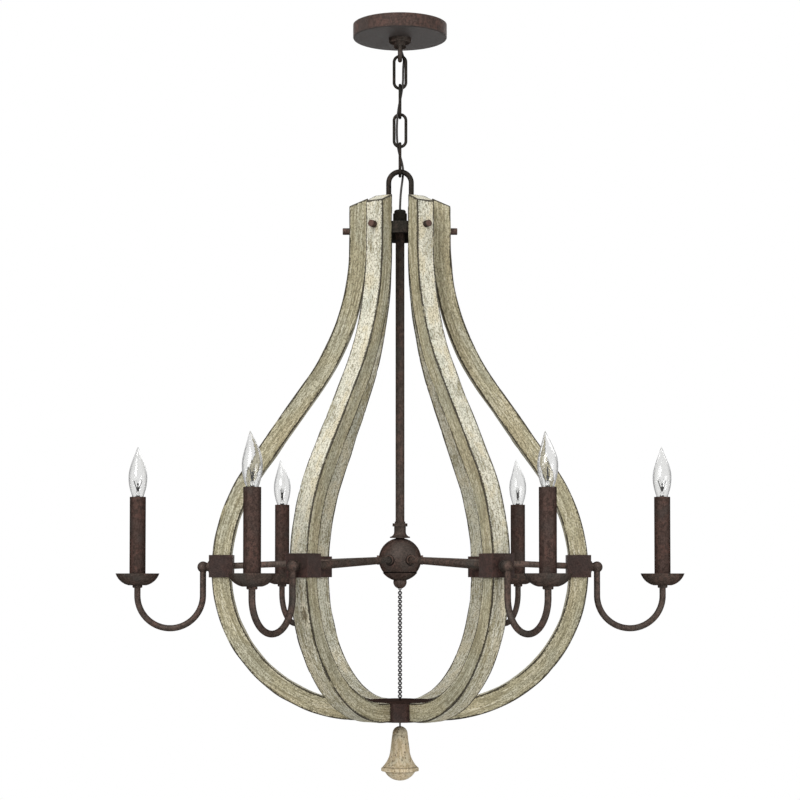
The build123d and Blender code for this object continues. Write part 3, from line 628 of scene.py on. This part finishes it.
def rust_iron(name, shift=(0.0, 0.0, 0.0), shade=1.15, cool=1.15, metal=0.5, gloss=0.0,
              grey=None, face=None, dark_seam_and_shade=None):
    """Iron with a matt rust-brown coat: dark ground, reddish and greyish clouds, fine grit.

    shade scales the colours, and cool their green and blue. metal is how far the iron shines through the
    coat, with dark edges, and gloss is the shine of the coat itself. The last three give, from the place, a
    share of greyer coat; of pinker coat, which is rubbed wear on the bolts' ends and a painted highlight on
    the rims of the arms' rings; and of near black, which is a dark line in the ball's seam and painted shade
    round the arms' rings and where the arms go into them.
    """
    def tone(red, green, blue):
        return shade * red, shade * cool * green, shade * cool * blue

    iron = Finish(name)
    place = iron.vector("ADD", iron.place(), shift)
    cloud = iron.noise(place, (34, 34, 30), 2, 0.6)
    blot = iron.noise(place, (210, 210, 170), 3, 0.65)
    grit = iron.noise(place, (520, 520, 520), 3, 0.7)
    fine = iron.noise(place, (1700, 1700, 1700), 2, 0.6)
    colour = iron.mix(iron.band(blot, 0.40, 0.60), tone(0.046, 0.0310, 0.0260), tone(0.070, 0.0470, 0.0400))
    red = iron.band(cloud, 0.46, 0.60) * iron.band(blot, 0.44, 0.58)
    colour = iron.mix(red * 0.45, colour, tone(0.104, 0.052, 0.041))
    colour = iron.mix(iron.band(cloud, 0.47, 0.36) * 0.6, colour, tone(0.054, 0.044, 0.039))
    if grey:
        colour = iron.mix(grey(iron) * 0.85, colour, tone(0.046, 0.0415, 0.039))
    # Pinker coat: rubbed wear on the bolts' ends, and a painted highlight on the rims of the arms' rings.
    if face:
        colour = iron.mix(face(iron) * 0.8, colour, tone(0.098, 0.054, 0.044))
    colour = iron.mix(iron.band(grit, 0.54, 0.64) * 0.36, colour, tone(0.120, 0.079, 0.066))
    colour = iron.mix(iron.band(grit, 0.46, 0.36) * 0.50, colour, tone(0.018, 0.013, 0.011))
    # Near black: a dark line in the ball's seam, and painted shade round the arms' rings and where the arms go in.
    if dark_seam_and_shade:
        colour = iron.mix(dark_seam_and_shade(iron) * 0.85, colour, (0.006, 0.005, 0.005))
    rough = 0.40 + blot * 0.14 + grit * 0.12
    height = grit * 0.6 + fine * 0.2 + blot * 0.4
    edge = dark_edge if metal else 1.0
    return iron.surface(Base_Color=colour, Metallic=metal, Roughness=rough, Normal=iron.bump(height, 0.0005),
                        Specular_IOR_Level=gloss, Specular_Tint=(edge, edge, edge, 1.0))


def canopy_underside(iron):
    """1 on the canopy's flat underside and 0 on its side."""
    return iron.fade(iron.height(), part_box("canopy")[0].z, underside_fade)


def from_arms(iron):
    """Distance from the nearest arm's middle line, on that arm's own side of the hub ball."""
    place = iron.vector("SUBTRACT", iron.place(), (0, 0, ball_height))
    distances = []
    for number in sides:
        turn = side_turn(number)
        line = (np.cos(turn) * np.cos(arm_fall), np.sin(turn) * np.cos(arm_fall), -np.sin(arm_fall))
        away = iron.vector("LENGTH", iron.vector("CROSS_PRODUCT", place, line), output="Value")
        along = iron.vector("DOT_PRODUCT", place, line, "Value")
        distances.append(away + iron.fade(along, ball_radius, arm_end_fade) + (along < 0))
    return reduce(Wire.least, distances)


def dark_seam_and_ring_shade(iron):
    """1 in a dark line along the seam between the hub ball and its lower cap, and in a thin line of painted shade
    round each arm's ring.
    """
    height = iron.height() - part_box("hub_cap")[1].z
    seam = iron.fade(height.most(0 - height), 0, seam_fade)
    return seam.most(iron.fade(from_arms(iron), arm_ring_radius, ring_line_fade))


def arm_gap_shade(iron):
    """1 in the line of painted shade on each ring's face where the arm goes into it."""
    away = from_arms(iron)
    return iron.fade(away, arm_radius, gap_inner_fade) * iron.fade(away, arm_ring_radius, gap_outer_fade)


def arm_rim_highlight(iron):
    """1 on the rim of each arm's ring, where a painted highlight lightens the coat."""
    away = from_arms(iron)
    return iron.fade(away, arm_ring_radius, rim_inner_fade) * iron.fade(away, arm_ring_radius, rim_outer_fade)


def bolt_ends(iron):
    """1 on the bolts' round end faces."""
    flat = iron.vector("MULTIPLY", iron.place(), (1, 1, 0))
    reach = iron.vector("LENGTH", flat, output="Value")
    return iron.fade(reach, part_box("stave_bolts")[1].x, bolt_end_fade)


def zinc_steel():
    """Plated steel with fine rolling marks along X and dull spots."""
    steel = Finish("zinc_steel")
    place = steel.place()
    lines = steel.noise(place, (90, 2600, 2600), 3, 0.6)
    spots = steel.noise(place, (240, 240, 240), 4, 0.65)
    colour = steel.mix(steel.band(spots, 0.35, 0.70), (0.19, 0.188, 0.172), (0.31, 0.305, 0.285))
    rough = 0.38 + spots * 0.20 + lines * 0.10
    return steel.surface(Base_Color=colour, Metallic=1.0, Roughness=rough, Normal=steel.bump(lines, 0.00005))


def nickel_brass():
    """Plated brass of the screw bases, yellower where it is rubbed."""
    brass = Finish("nickel_brass")
    place = brass.place()
    rub = brass.noise(place, (700, 700, 260), 3, 0.6)
    colour = brass.mix(brass.band(rub, 0.40, 0.66), (0.62, 0.57, 0.44), (0.74, 0.71, 0.64))
    return brass.surface(Base_Color=colour, Metallic=1.0, Roughness=0.22 + rub * 0.22,
                         Normal=brass.bump(rub, 0.00006))


def black_moulding():
    """Matt black moulded insulator with a faint grain."""
    black = Finish("black_moulding")
    grain = black.noise(black.place(), (1900, 1900, 1900), 2)
    spots = black.noise(black.place(), (160, 160, 160), 3)
    colour = black.mix(black.band(spots, 0.3, 0.7), (0.014, 0.014, 0.014), (0.026, 0.025, 0.024))
    return black.surface(Base_Color=colour, Roughness=0.5 + grain * 0.15, Normal=black.bump(grain, 0.00008))


def dark_cord():
    """Dark brown cord jacket with faint lengthwise twist and dust."""
    cord = Finish("dark_cord")
    place = cord.place()
    twist = cord.noise(place, (900, 900, 160), 3, 0.6, 0.5)
    dust = cord.noise(place, (320, 320, 320), 3)
    colour = cord.mix(cord.band(twist, 0.35, 0.65), (0.012, 0.010, 0.009), (0.032, 0.026, 0.022))
    colour = cord.mix(cord.band(dust, 0.60, 0.76) * 0.4, colour, (0.070, 0.060, 0.052))
    return cord.surface(Base_Color=colour, Roughness=0.55 + dust * 0.18, Normal=cord.bump(twist, 0.00025))


def clear_glass():
    """Thin clear bulb glass, a little uneven, clear where it faces the eye, with a painted dark outline where it
    turns away.
    """
    glass = Finish("clear_glass")
    wave = glass.noise(glass.place(), (140, 140, 90), 2)
    # Painted shade: the colour goes to near black where the glass turns away from the eye, for its dark outline.
    away = glass.node("ShaderNodeLayerWeight", {}, {"Blend": 0.5}, "Facing")
    colour = glass.mix(glass.band(away, 0.20, 0.88) ** 1.2, (0.87, 0.87, 0.865), (0.008, 0.008, 0.008))
    return glass.surface(Base_Color=colour, Roughness=0.01 + wave * 0.02, IOR=1.47,
                         Transmission_Weight=1.0, Normal=glass.bump(wave, 0.0004, 0.5))


def mount_wire():
    """Dark oxidised wires and beads inside a bulb."""
    wire = Finish("mount_wire")
    spots = wire.noise(wire.place(), (900, 900, 900), 2)
    colour = wire.mix(wire.band(spots, 0.42, 0.58), (0.006, 0.006, 0.006), (0.024, 0.022, 0.020))
    return wire.surface(Base_Color=colour, Metallic=0.2, Roughness=0.45 + spots * 0.2, Specular_IOR_Level=0.3)


def stave_line(distance):
    """Points and outward normals of the outer face's middle line, in radius and height.

    The heading, as an angle from straight down, bends at a steady rate in each arc, and the line is
    the sum of its steps.
    """
    end = belt_radius - stave_bowl_radius - stave_foot
    runs = [
        stave_straight, stave_flare_radius * stave_slope, stave_slope_length,
        stave_shoulder_radius * stave_slope, stave_bowl_radius * pi / 2, end,
    ]
    marks = np.concatenate([[0], np.cumsum(runs)])
    headings = [0, 0, stave_slope, stave_slope, 0, -pi / 2, -pi / 2]
    steps = np.linspace(0, marks[-1], stave_line_steps + 1)
    heading = np.interp((steps[1:] + steps[:-1]) / 2, marks, headings)
    step = steps[1] - steps[0]
    radius = np.concatenate([[0], np.cumsum(np.sin(heading) * step)])
    height = np.concatenate([[0], np.cumsum(-np.cos(heading) * step)])
    radius += belt_radius - radius.max()
    height += stave_high.z - stave_top_bevel
    at = distance * marks[-1]
    turn = np.interp(at, marks, headings)
    line = np.interp(at, steps, radius), np.interp(at, steps, height)
    return line, (np.cos(turn), np.sin(turn)), at


def stave_section():
    """Rounded rectangle: inset from the outer face, place across, outward normal and place round.

    The normal's angle is held on each flat face and turns a quarter in each corner.
    """
    half = stave_width / 2 - stave_edge_round
    centres = [
        (stave_edge_round, half), (stave_thickness - stave_edge_round, half),
        (stave_thickness - stave_edge_round, -half), (stave_edge_round, -half),
    ]
    insets, acrosses, angles = [], [], []
    for corner, centre in enumerate(centres):
        following = centres[(corner + 1) % 4]
        turn = np.linspace(corner, corner + 1, corner_columns) * pi / 2
        angle = np.concatenate([turn, np.full(face_columns, turn[-1])])
        share = np.concatenate([np.zeros(corner_columns), np.linspace(0, 1, face_columns + 2)[1:-1]])
        insets.append(centre[0] + share * (following[0] - centre[0]) - stave_edge_round * np.cos(angle))
        acrosses.append(centre[1] + share * (following[1] - centre[1]) + stave_edge_round * np.sin(angle))
        angles.append(angle)
    inset, across, angle = (np.concatenate(v) for v in (insets, acrosses, angles))
    step = np.hypot(np.roll(inset, -1) - inset, np.roll(across, -1) - across)
    share = np.concatenate([[0], np.cumsum(step)[:-1]]) / step.sum()
    corners = [np.mean(share[k * (corner_columns + face_columns):][:corner_columns]) for k in range(4)]
    gaps = np.abs((share[:, None] - np.array(corners) + 0.5) % 1 - 0.5) * step.sum()
    return inset, across, angle, share, gaps


def knot_reach(number, distance, share):
    """Distance from a stave's nearest knot, in units of the knot's half sizes, up to a far limit."""
    reach = np.full(np.broadcast(distance, share).shape, knot_far)
    round_length = 2 * (stave_width + stave_thickness)
    for stave, knot_distance, knot_share, length, width in knots:
        if stave == number:
            aside = ((share - knot_share + 0.5) % 1 - 0.5) * round_length
            reach = np.minimum(reach, np.hypot((distance - knot_distance) / length, aside / width))
    return reach


def stave_relief(number, distance, share, gaps, knot):
    """Depth of a stave's surface below its section.

    Broad and fine waves for the hewn faces and the grain, wear that grows as a square towards each corner,
    and rings round a knot: a cosine of the distance from it under a bell curve.
    """
    seed = number * stave_seeds
    relief = hewn_depth * (1 + ripples(seed, distance, share, *hewn_waves))
    relief = relief + grain_depth * ripples(seed + 1, distance, share, *grain_waves)
    for corner in range(4):
        wear = ripples(seed + 2 + corner, distance, 0.0, *chip_waves)
        reach = np.clip(1 - gaps[:, corner] / chip_reach, 0, 1) ** 2
        relief = relief + chip_depth * smooth(chip_start, chip_full, wear) * reach
    relief = relief + knot_depth * np.cos(knot_rings * knot) * np.exp(-knot**2)
    relief[0] += stave_edge_round * cap_round_share
    return relief


def stave(number, finish):
    """A stave: its section carried down its line, less the relief, with shrinking sections over its top.

    The top slopes, because near it a point is lifted by its inset from the outer face. The mesh keeps each
    point's place in the grain, its gap to the nearest edge, its lime and its distance from a knot.
    """
    row_share = np.concatenate([stave_top_shares, np.linspace(stave_next_share, 1, stave_rows)])
    line, normal, distance = stave_line(row_share)
    inset, across, angle, share, gaps = stave_section()
    distance = distance[:, None]
    knot = knot_reach(number, distance, share)
    relief = stave_relief(number, distance, share, gaps, knot)
    inset = inset + relief * np.cos(angle)
    across = across - relief * np.sin(angle)
    middle = stave_thickness / 2
    caps = np.array(cap_shares)[::-1, None]
    top = len(cap_shares)
    inset = np.vstack([middle + caps * (inset[0] - middle), inset])
    across = np.vstack([caps * across[0], across])
    distance = np.vstack([np.zeros((top, 1)), distance])
    line_radius, line_height, out, up = (
        np.concatenate([np.full(top, values[0]), values])[:, None] for values in (*line, *normal)
    )
    lift = stave_top_bevel * inset / stave_thickness * np.clip(1 - distance / stave_straight, 0, 1)
    radius = line_radius - inset * out
    height = line_height - inset * up + lift
    turn = side_turn(number)
    points = np.stack([
        radius * np.cos(turn) - across * np.sin(turn), radius * np.sin(turn) + across * np.cos(turn), height,
    ], axis=-1)
    cap_gap = np.broadcast_to(middle * (1 - caps), (top, len(share)))
    edge_gap = np.vstack([cap_gap, np.minimum(gaps.min(1), distance[top:])])
    outer = np.clip(np.cos(angle), 0, 1)
    inner = np.clip(-np.cos(angle), 0, 1)
    side = 1 - outer - inner
    lime = outer * (lime_outer - lime_outer_loss * smooth(*lime_fade, distance))
    lime = lime + inner * lime_inner + side * lime_side
    lime[:top + 1] = lime_cap
    grain = np.stack([inset, across, np.broadcast_to(distance + number * grain_shift, inset.shape)], axis=-1)
    knot = np.vstack([np.full((top, len(share)), knot_far), knot])
    shell = skin(points, grain=grain, edge_gap=edge_gap, lime=lime, knot=knot)
    made = piece(f"limed_stave_{number}", [shell], finish, "fixture")
    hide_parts(f"stave_{number}")


def drop_outline():
    """Radius and height of the drop's outline from the top down: arcs for dome, flare and underside."""
    rim = [(drop_high.x + step, depth) for step, depth in drop_rim]
    bends = [drop_waist, drop_flare, *rim, *drop_under]
    waist, flare, *edge = [(radius, drop_high.z - depth) for radius, depth in bends]
    return np.vstack([
        arc((0, drop_high.z - drop_dome), drop_dome, drop_dome_start, 0, dome_steps),
        tangent_arc(waist, drop_waist_heading, flare, flare_steps),
        edge,
        tangent_arc((drop_tip_radius, drop_low.z), (1, 0), edge[-1], under_steps)[::-1],
    ])


def turned_drop(finish):
    """The drop: its outline turned, with a sine and uneven waves for the tool, and a bell curve a groove."""
    outline = drop_outline()
    run = np.concatenate([[0], np.cumsum(np.hypot(*np.diff(outline, axis=0).T))])
    at = np.sort(np.concatenate([np.linspace(0, run[-1], drop_rows), run]))[:, None]
    radius, height = (np.interp(at, run, outline[:, i]) for i in range(2))
    depth = drop_high.z - height
    groove = sum(part * np.exp(-((depth - place) / width) ** 2) for place, width, part in drop_grooves)
    share = np.linspace(0, 1, drop_columns, endpoint=False)
    tool = tool_depth * np.sin(tau * at / tool_pitch)
    uneven = uneven_depth * ripples(uneven_seed, at, share, *uneven_waves)
    cut = groove_depth * groove * np.clip(radius / groove_fade, 0, 1)
    radius = radius + (tool + uneven) * np.clip(radius / tool_fade, 0, 1) - cut
    radius = np.maximum(radius, drop_least_radius)
    shell = skin(turned(radius, height, drop_columns), groove=np.broadcast_to(groove, radius.shape))
    made = piece("turned_drop", [shell], finish, "finial")
    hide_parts("finial")


def flame_radius(share):
    """Radius of the flame glass at a share of its height.

    A power of a sine up to the belly, then a power of a cosine, with a round tip.
    """
    rise = np.clip(share / bulb_belly_share, 0, 1)
    fall = np.clip((share - bulb_belly_share) / (1 - bulb_belly_share), 0, 1)
    swell = (bulb_belly_radius - bulb_neck_radius) * np.sin(rise * pi / 2) ** bulb_rise_power
    taper = (bulb_belly_radius - bulb_tip_radius) * np.cos(fall * pi / 2) ** bulb_fall_power
    tip = bulb_tip_radius * np.sqrt(1 - fall**bulb_tip_power)
    return np.where(share < bulb_belly_share, bulb_neck_radius + swell, taper + tip)


def bulb_centre(number):
    """Axis of a candle."""
    low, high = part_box(f"bulb_base_{number}")
    return (low.x + high.x) / 2, (low.y + high.y) / 2


def flame_glass(number, finish):
    """Flame glass: inner wall down and outer wall up, turned, then bent by a power of a smooth step."""
    low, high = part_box(f"bulb_glass_{number}")
    share = 0.5 - 0.5 * np.cos(np.linspace(0, pi, bulb_rows))
    outer = np.maximum(flame_radius(share), bulb_least_radius)
    inner = np.maximum(outer - bulb_wall, bulb_least_inner)
    radius = np.concatenate([inner[::-1], outer])
    height = np.concatenate([share[::-1] * bulb_inner_share, share])
    points = turned(radius, low.z + height * (high.z - low.z), bulb_columns, bulb_centre(number))
    lean = bulb_tip_bend * smooth(*bulb_bend_shares, height)[:, None] ** bulb_bend_power
    bend = radians(bend_directions[number])
    points[..., 0] += lean * np.cos(bend)
    points[..., 1] += lean * np.sin(bend)
    made = piece(f"flame_glass_{number}", [skin(points)], finish, f"bulb_{number}")
    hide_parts(f"bulb_glass_{number}")


def glass_stem(number, finish):
    """Glass stem inside a bulb: its outline turned."""
    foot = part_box(f"bulb_glass_{number}")[0].z
    stem = turned_outline(stem_outline, foot, stem_columns, bulb_centre(number))
    piece(f"glass_stem_{number}", [stem], finish, f"bulb_{number}")


def wire_mount(number, finish):
    """Wires inside a bulb: tubes along two leads, the filament and a prop, and two long beads.

    The leads spread and hook as smooth steps. The filament coils as it crosses, and sags as a product of
    two cosines.
    """
    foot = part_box(f"bulb_glass_{number}")[0].z
    centre = np.array(bulb_centre(number))
    bend = radians(bend_directions[number])
    facing = np.array([np.sin(bend), -np.cos(bend)])
    rise = np.linspace(0, 1, lead_rows)[:, None]
    out = lead_start + lead_spread * smooth(lead_spread_from, 1, rise)
    out = out + lead_hook * smooth(lead_hook_from, 1, rise)
    skins = []
    for side in (-1, 1):
        lead = np.hstack([centre + side * out * facing, foot + lead_foot + lead_length * rise])
        skins.append(skin(tube(lead, lead_radius, lead_columns, lead_aside)))
    across = np.linspace(-1, 1, filament_rows)[:, None]
    turn = np.linspace(0, filament_turns * tau, filament_rows)[:, None]
    sag = filament_sag * np.cos(across * pi / 2) * np.cos(across * pi * filament_waves)
    spread = filament_coil * np.cos(turn)
    place = centre + filament_half * across * facing + spread * facing[::-1] * (1, -1)
    filament = np.hstack([place, foot + filament_height - sag + filament_coil * np.sin(turn)])
    skins.append(skin(tube(filament, filament_radius, filament_columns, filament_aside)))
    bead = np.linspace(bead_pole, pi - bead_pole, bead_rows)
    for bead_height, size in beads:
        height = foot + bead_height - bead_stretch * size * np.cos(bead)
        skins.append(skin(turned(size * np.sin(bead), height, bead_columns, centre)))
    prop = np.hstack([np.broadcast_to(centre, (lead_rows, 2)), foot + prop_foot + prop_length * rise])
    skins.append(skin(tube(prop, prop_radius, lead_columns, lead_aside)))
    piece(f"wire_mount_{number}", skins, finish, f"bulb_{number}")


def screw_base(number, brass, black):
    """Screw base: a shell with a plain skirt above its thread, and a turned insulator and end contact.

    The thread is a cosine of the height that climbs one pitch a turn, and fades at both ends.
    """
    base = f"bulb_base_{number}"
    low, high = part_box(base)
    centre = bulb_centre(number)
    outer = (high.x - low.x) / 2
    share = np.linspace(0, 1, base_rows)
    height = insulator_height + share * (high.z - low.z - insulator_height)
    angle = np.linspace(0, 1, base_columns, endpoint=False)
    ends = smooth(*thread_run_in, share) * smooth(*thread_run_out, share)
    wave = 0.5 - 0.5 * np.cos(tau * (height[:, None] / thread_pitch - angle))
    radius = outer - thread_depth * (1 - wave * ends[:, None])
    radius[share > skirt_share] = outer - skirt_inset
    radius[[0, -1]] *= shell_end_share
    thread = skin(turned(radius, low.z + height, base_columns, centre))
    shell = piece(f"screw_shell_{number}", [thread], brass, base)
    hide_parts(base)
    insulator_outline = [(rise, outer - inset) for rise, inset in insulator_insets] + insulator_cone
    insulator = turned_outline(insulator_outline, low.z, insulator_columns, centre)
    piece(f"base_insulator_{number}", [insulator], black, base)
    contact = turned_outline(contact_outline, low.z, contact_columns, centre)
    piece(f"end_contact_{number}", [contact], brass, base)


def cord_line():
    """Points along the smooth spline whose control points are the route's points."""
    curve = bpy.data.curves.new("cord_route", "CURVE")
    curve.dimensions = "3D"
    spline = curve.splines.new("NURBS")
    spline.points.add(len(cord_route) - 1)
    for point, place in zip(spline.points, cord_route):
        point.co = (*place, 1)
    spline.order_u = 3
    spline.use_endpoint_u = True
    spline.resolution_u = cord_line_steps
    holder = add("cord_route", curve)
    line = bpy.data.meshes.new_from_object(holder)
    points = np.zeros(len(line.vertices) * 3)
    line.vertices.foreach_get("co", points)
    bpy.data.objects.remove(holder)
    bpy.data.curves.remove(curve)
    bpy.data.meshes.remove(line)
    return points.reshape(-1, 3)


def supply_cord(finish):
    """The cord in stretches that meet halfway down each link, with the last riding on the fixture."""
    line = cord_line()
    heights = line[:, 2]
    cuts = [heights[0]] + [(a + b) / 2 for a, b in zip(chain_pivots, chain_pivots[1:])]
    cuts += [chain_pivots[-1] - (chain_pivots[-2] - chain_pivots[-1]) / 2, heights[-1]]
    last = len(cuts) - 1
    for number, (high, low) in enumerate(zip(cuts, cuts[1:]), start=1):
        steps = np.linspace(high, low, cord_rows if number < last else cord_last_rows)
        path = np.stack([np.interp(-steps, -heights, line[:, i]) for i in range(3)], axis=1)
        jacket = skin(tube(path, cord_diameter / 2, cord_columns))
        made = piece(f"cord_stretch_{number}", [jacket], finish)
        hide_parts("supply_cord")
        if number < last:
            pivot = chain_pivots[number - 1]
            above, below = chain_bodies[number - 1], chain_bodies[number]
            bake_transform(made)
        else:
            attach(made, chain_bodies[-1])


def fine_chain(finish):
    """Rings hung one in the next, each a quarter turn from the last, from the knob's eye to the cover's.

    The chain's box gives its ends, and each ring is a circle of wire carried round a larger circle.
    """
    low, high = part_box("fine_chain")
    ring = high.x - low.x - ring_wire
    count = round((high.z - low.z - ring - ring_wire) / ring_pitch) + 1
    middles = np.linspace(high.z - (ring + ring_wire) / 2, low.z + (ring + ring_wire) / 2, count)
    turn = np.linspace(0, tau, ring_rows, endpoint=False)[:, None]
    section = np.linspace(0, tau, ring_columns, endpoint=False)
    across = (ring + ring_visible_growth + ring_visible_wire * np.cos(section)) / 2
    wide = across * np.cos(turn)
    flat = np.broadcast_to(ring_visible_wire / 2 * np.sin(section), wide.shape)
    skins = []
    for number, middle_height in enumerate(middles):
        level = (wide, flat) if number % 2 else (flat, wide)
        skins.append(loop(np.stack([*level, middle_height + across * np.sin(turn)], axis=-1)))
    made = piece("fine_ring_chain", skins, finish, "fixture")
    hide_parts("fine_chain")


def dress(names, finish):
    """Gives the finish to solids that keep their shape."""
    for name in names:
        nodes[name].data.materials.clear()
        nodes[name].data.materials.append(finish)


def floor():
    """Wide, round, pale floor far below, nearly white to the camera, with a soft shadow."""
    mesh = bpy.data.meshes.new("floor")
    corners = turned([floor_radius], [floor_height], floor_corners)[0]
    mesh.from_pydata(corners.tolist(), [], [range(floor_corners)])
    pale = Finish("pale_floor")
    matt = pale.node("ShaderNodeBsdfDiffuse", {}, {"Color": (0.9, 0.9, 0.9, 1)})
    white = pale.node("ShaderNodeEmission", {}, {"Color": (1, 1, 1, 1), "Strength": 1.0})
    both = pale.node("ShaderNodeMixShader", {}, {0: pale.seen() * floor_white, 1: matt, 2: white})
    pale.node("ShaderNodeOutputMaterial", {}, {"Surface": both})
    mesh.materials.append(pale.owner)
    made = add("floor", mesh)


def world_light():
    """Plain grey light from all round that the camera, gloss and glass see as white."""
    world = bpy.data.worlds.new("studio")
    bpy.context.scene.world = world
    studio = Nodes(world)
    levels = {"Value": studio.seen(), "To Min": room_light, "To Max": 1.0}
    strength = studio.node("ShaderNodeMapRange", {}, levels)
    light = studio.node("ShaderNodeBackground", {}, {"Color": (1, 1, 1, 1), "Strength": strength})
    studio.node("ShaderNodeOutputWorld", {}, {"Surface": light})


def lamp(name, place, size, power):
    """Square soft lamp at a place, turned to the middle of the part."""
    data = bpy.data.lights.new(name, "AREA")
    data.size = size
    data.energy = power
    made = add(name, data)
    made.location = place
    towards = made.location.copy()
    towards.x, towards.y, towards.z = (a - p for a, p in zip(lamp_aim, place))
    made.rotation_euler = towards.to_track_quat("-Z", "Y").to_euler()


def camera():
    """Camera at the photograph's eye, pitched up and shifted by what the framing needs."""
    data = bpy.data.cameras.new("camera")
    data.sensor_width = sensor_width
    data.lens = focal_pixels / photo_size * sensor_width
    data.shift_y = shift_rows / photo_size
    made = add("camera", data)
    pitch = atan((eye_row - photo_size / 2 - shift_rows) / focal_pixels)
    made.location = (0, -eye_distance, ball_height - eye_drop)
    made.rotation_euler = (pi / 2 + pitch, 0, 0)
    bpy.context.scene.camera = made


bpy.context.scene.view_settings.view_transform = "Standard"
camera()
world_light()
floor()
for name, settings in lamps.items():
    lamp(name, *settings)

wood_finish = limed_wood()
glass_finish = clear_glass()
wire_finish = mount_wire()
brass_finish = nickel_brass()
black_finish = black_moulding()
cord_finish = dark_cord()
iron_finish = rust_iron("rust_iron")
for number in sides:
    stave(number, wood_finish)
    flame_glass(number, glass_finish)
    glass_stem(number, glass_finish)
    wire_mount(number, wire_finish)
    screw_base(number, brass_finish, black_finish)
turned_drop(turned_wood())
supply_cord(cord_finish)
fine_chain(rust_iron("fine_iron", (0.05, 0.0, 0.0), shade=0.2))

slot_nodes = {}
for subpart in frame["record"]["subparts"]:
    slot_nodes.setdefault(subpart["material_slot"], []).append(subpart["node"])
dress(slot_nodes["rust_iron"], iron_finish)
coated = {"metal": 0.0, "shade": 0.74, "cool": 0.90, "gloss": 0.10}
dress(["stave_clamps", "bottom_hub"], rust_iron("band_iron", (0.3, 0.0, 0.2), **coated))
dress(["canopy"], rust_iron("canopy_iron", (0.37, 0.11, 0.0), shade=1.0, cool=1.0, metal=0.0, gloss=0.07,
                            grey=canopy_underside))
dress(["bottom_cover"], rust_iron("cover_iron", (0.12, 0.0, 0.0), shade=0.6, cool=0.95, metal=0.0))
dress(["candle_sleeves"], rust_iron("sleeve_iron", (0.2, 0.2, 0.0), shade=0.95, cool=1.0))
arm_nodes = ["bobeches", "arm_collars", *(f"candle_arm_{number}" for number in sides)]
dress(arm_nodes, rust_iron("tube_iron", (0.0, 0.3, 0.3), shade=1.2, cool=1.13))
# Painted highlight on the rims of the arms' rings, and painted shade where the arms go into them.
dress(["hub_arms"], rust_iron("arm_iron", (0.0, 0.0, 0.2), shade=1.5, cool=1.15, metal=0.3,
                              face=arm_rim_highlight, dark_seam_and_shade=arm_gap_shade))
# A dark line in the seam above the ball's cap, and painted shade round each arm's ring.
ball_nodes = ["hub_shell", "hub_cap", "hub_knob"]
dress(ball_nodes, rust_iron("ball_iron", (0.0, 0.0, 0.4), shade=1.3, cool=1.06, metal=0.6, dark_seam_and_shade=dark_seam_and_ring_shade))
dark_nodes = ["top_hub", "wire_cap", "top_loop", *(f"chain_link_{number}" for number in links)]
dress(dark_nodes, rust_iron("dark_iron", (0.0, 0.5, 0.1), shade=0.42, cool=1.3))
dress(["stave_bolts"], rust_iron("bolt_iron", (0.0, 0.21, 0.0), cool=1.08, face=bolt_ends))
dress(slot_nodes["zinc_steel"], zinc_steel())
dress(slot_nodes["socket_black"], black_finish)
dress(["lamp_leads"], cord_finish)
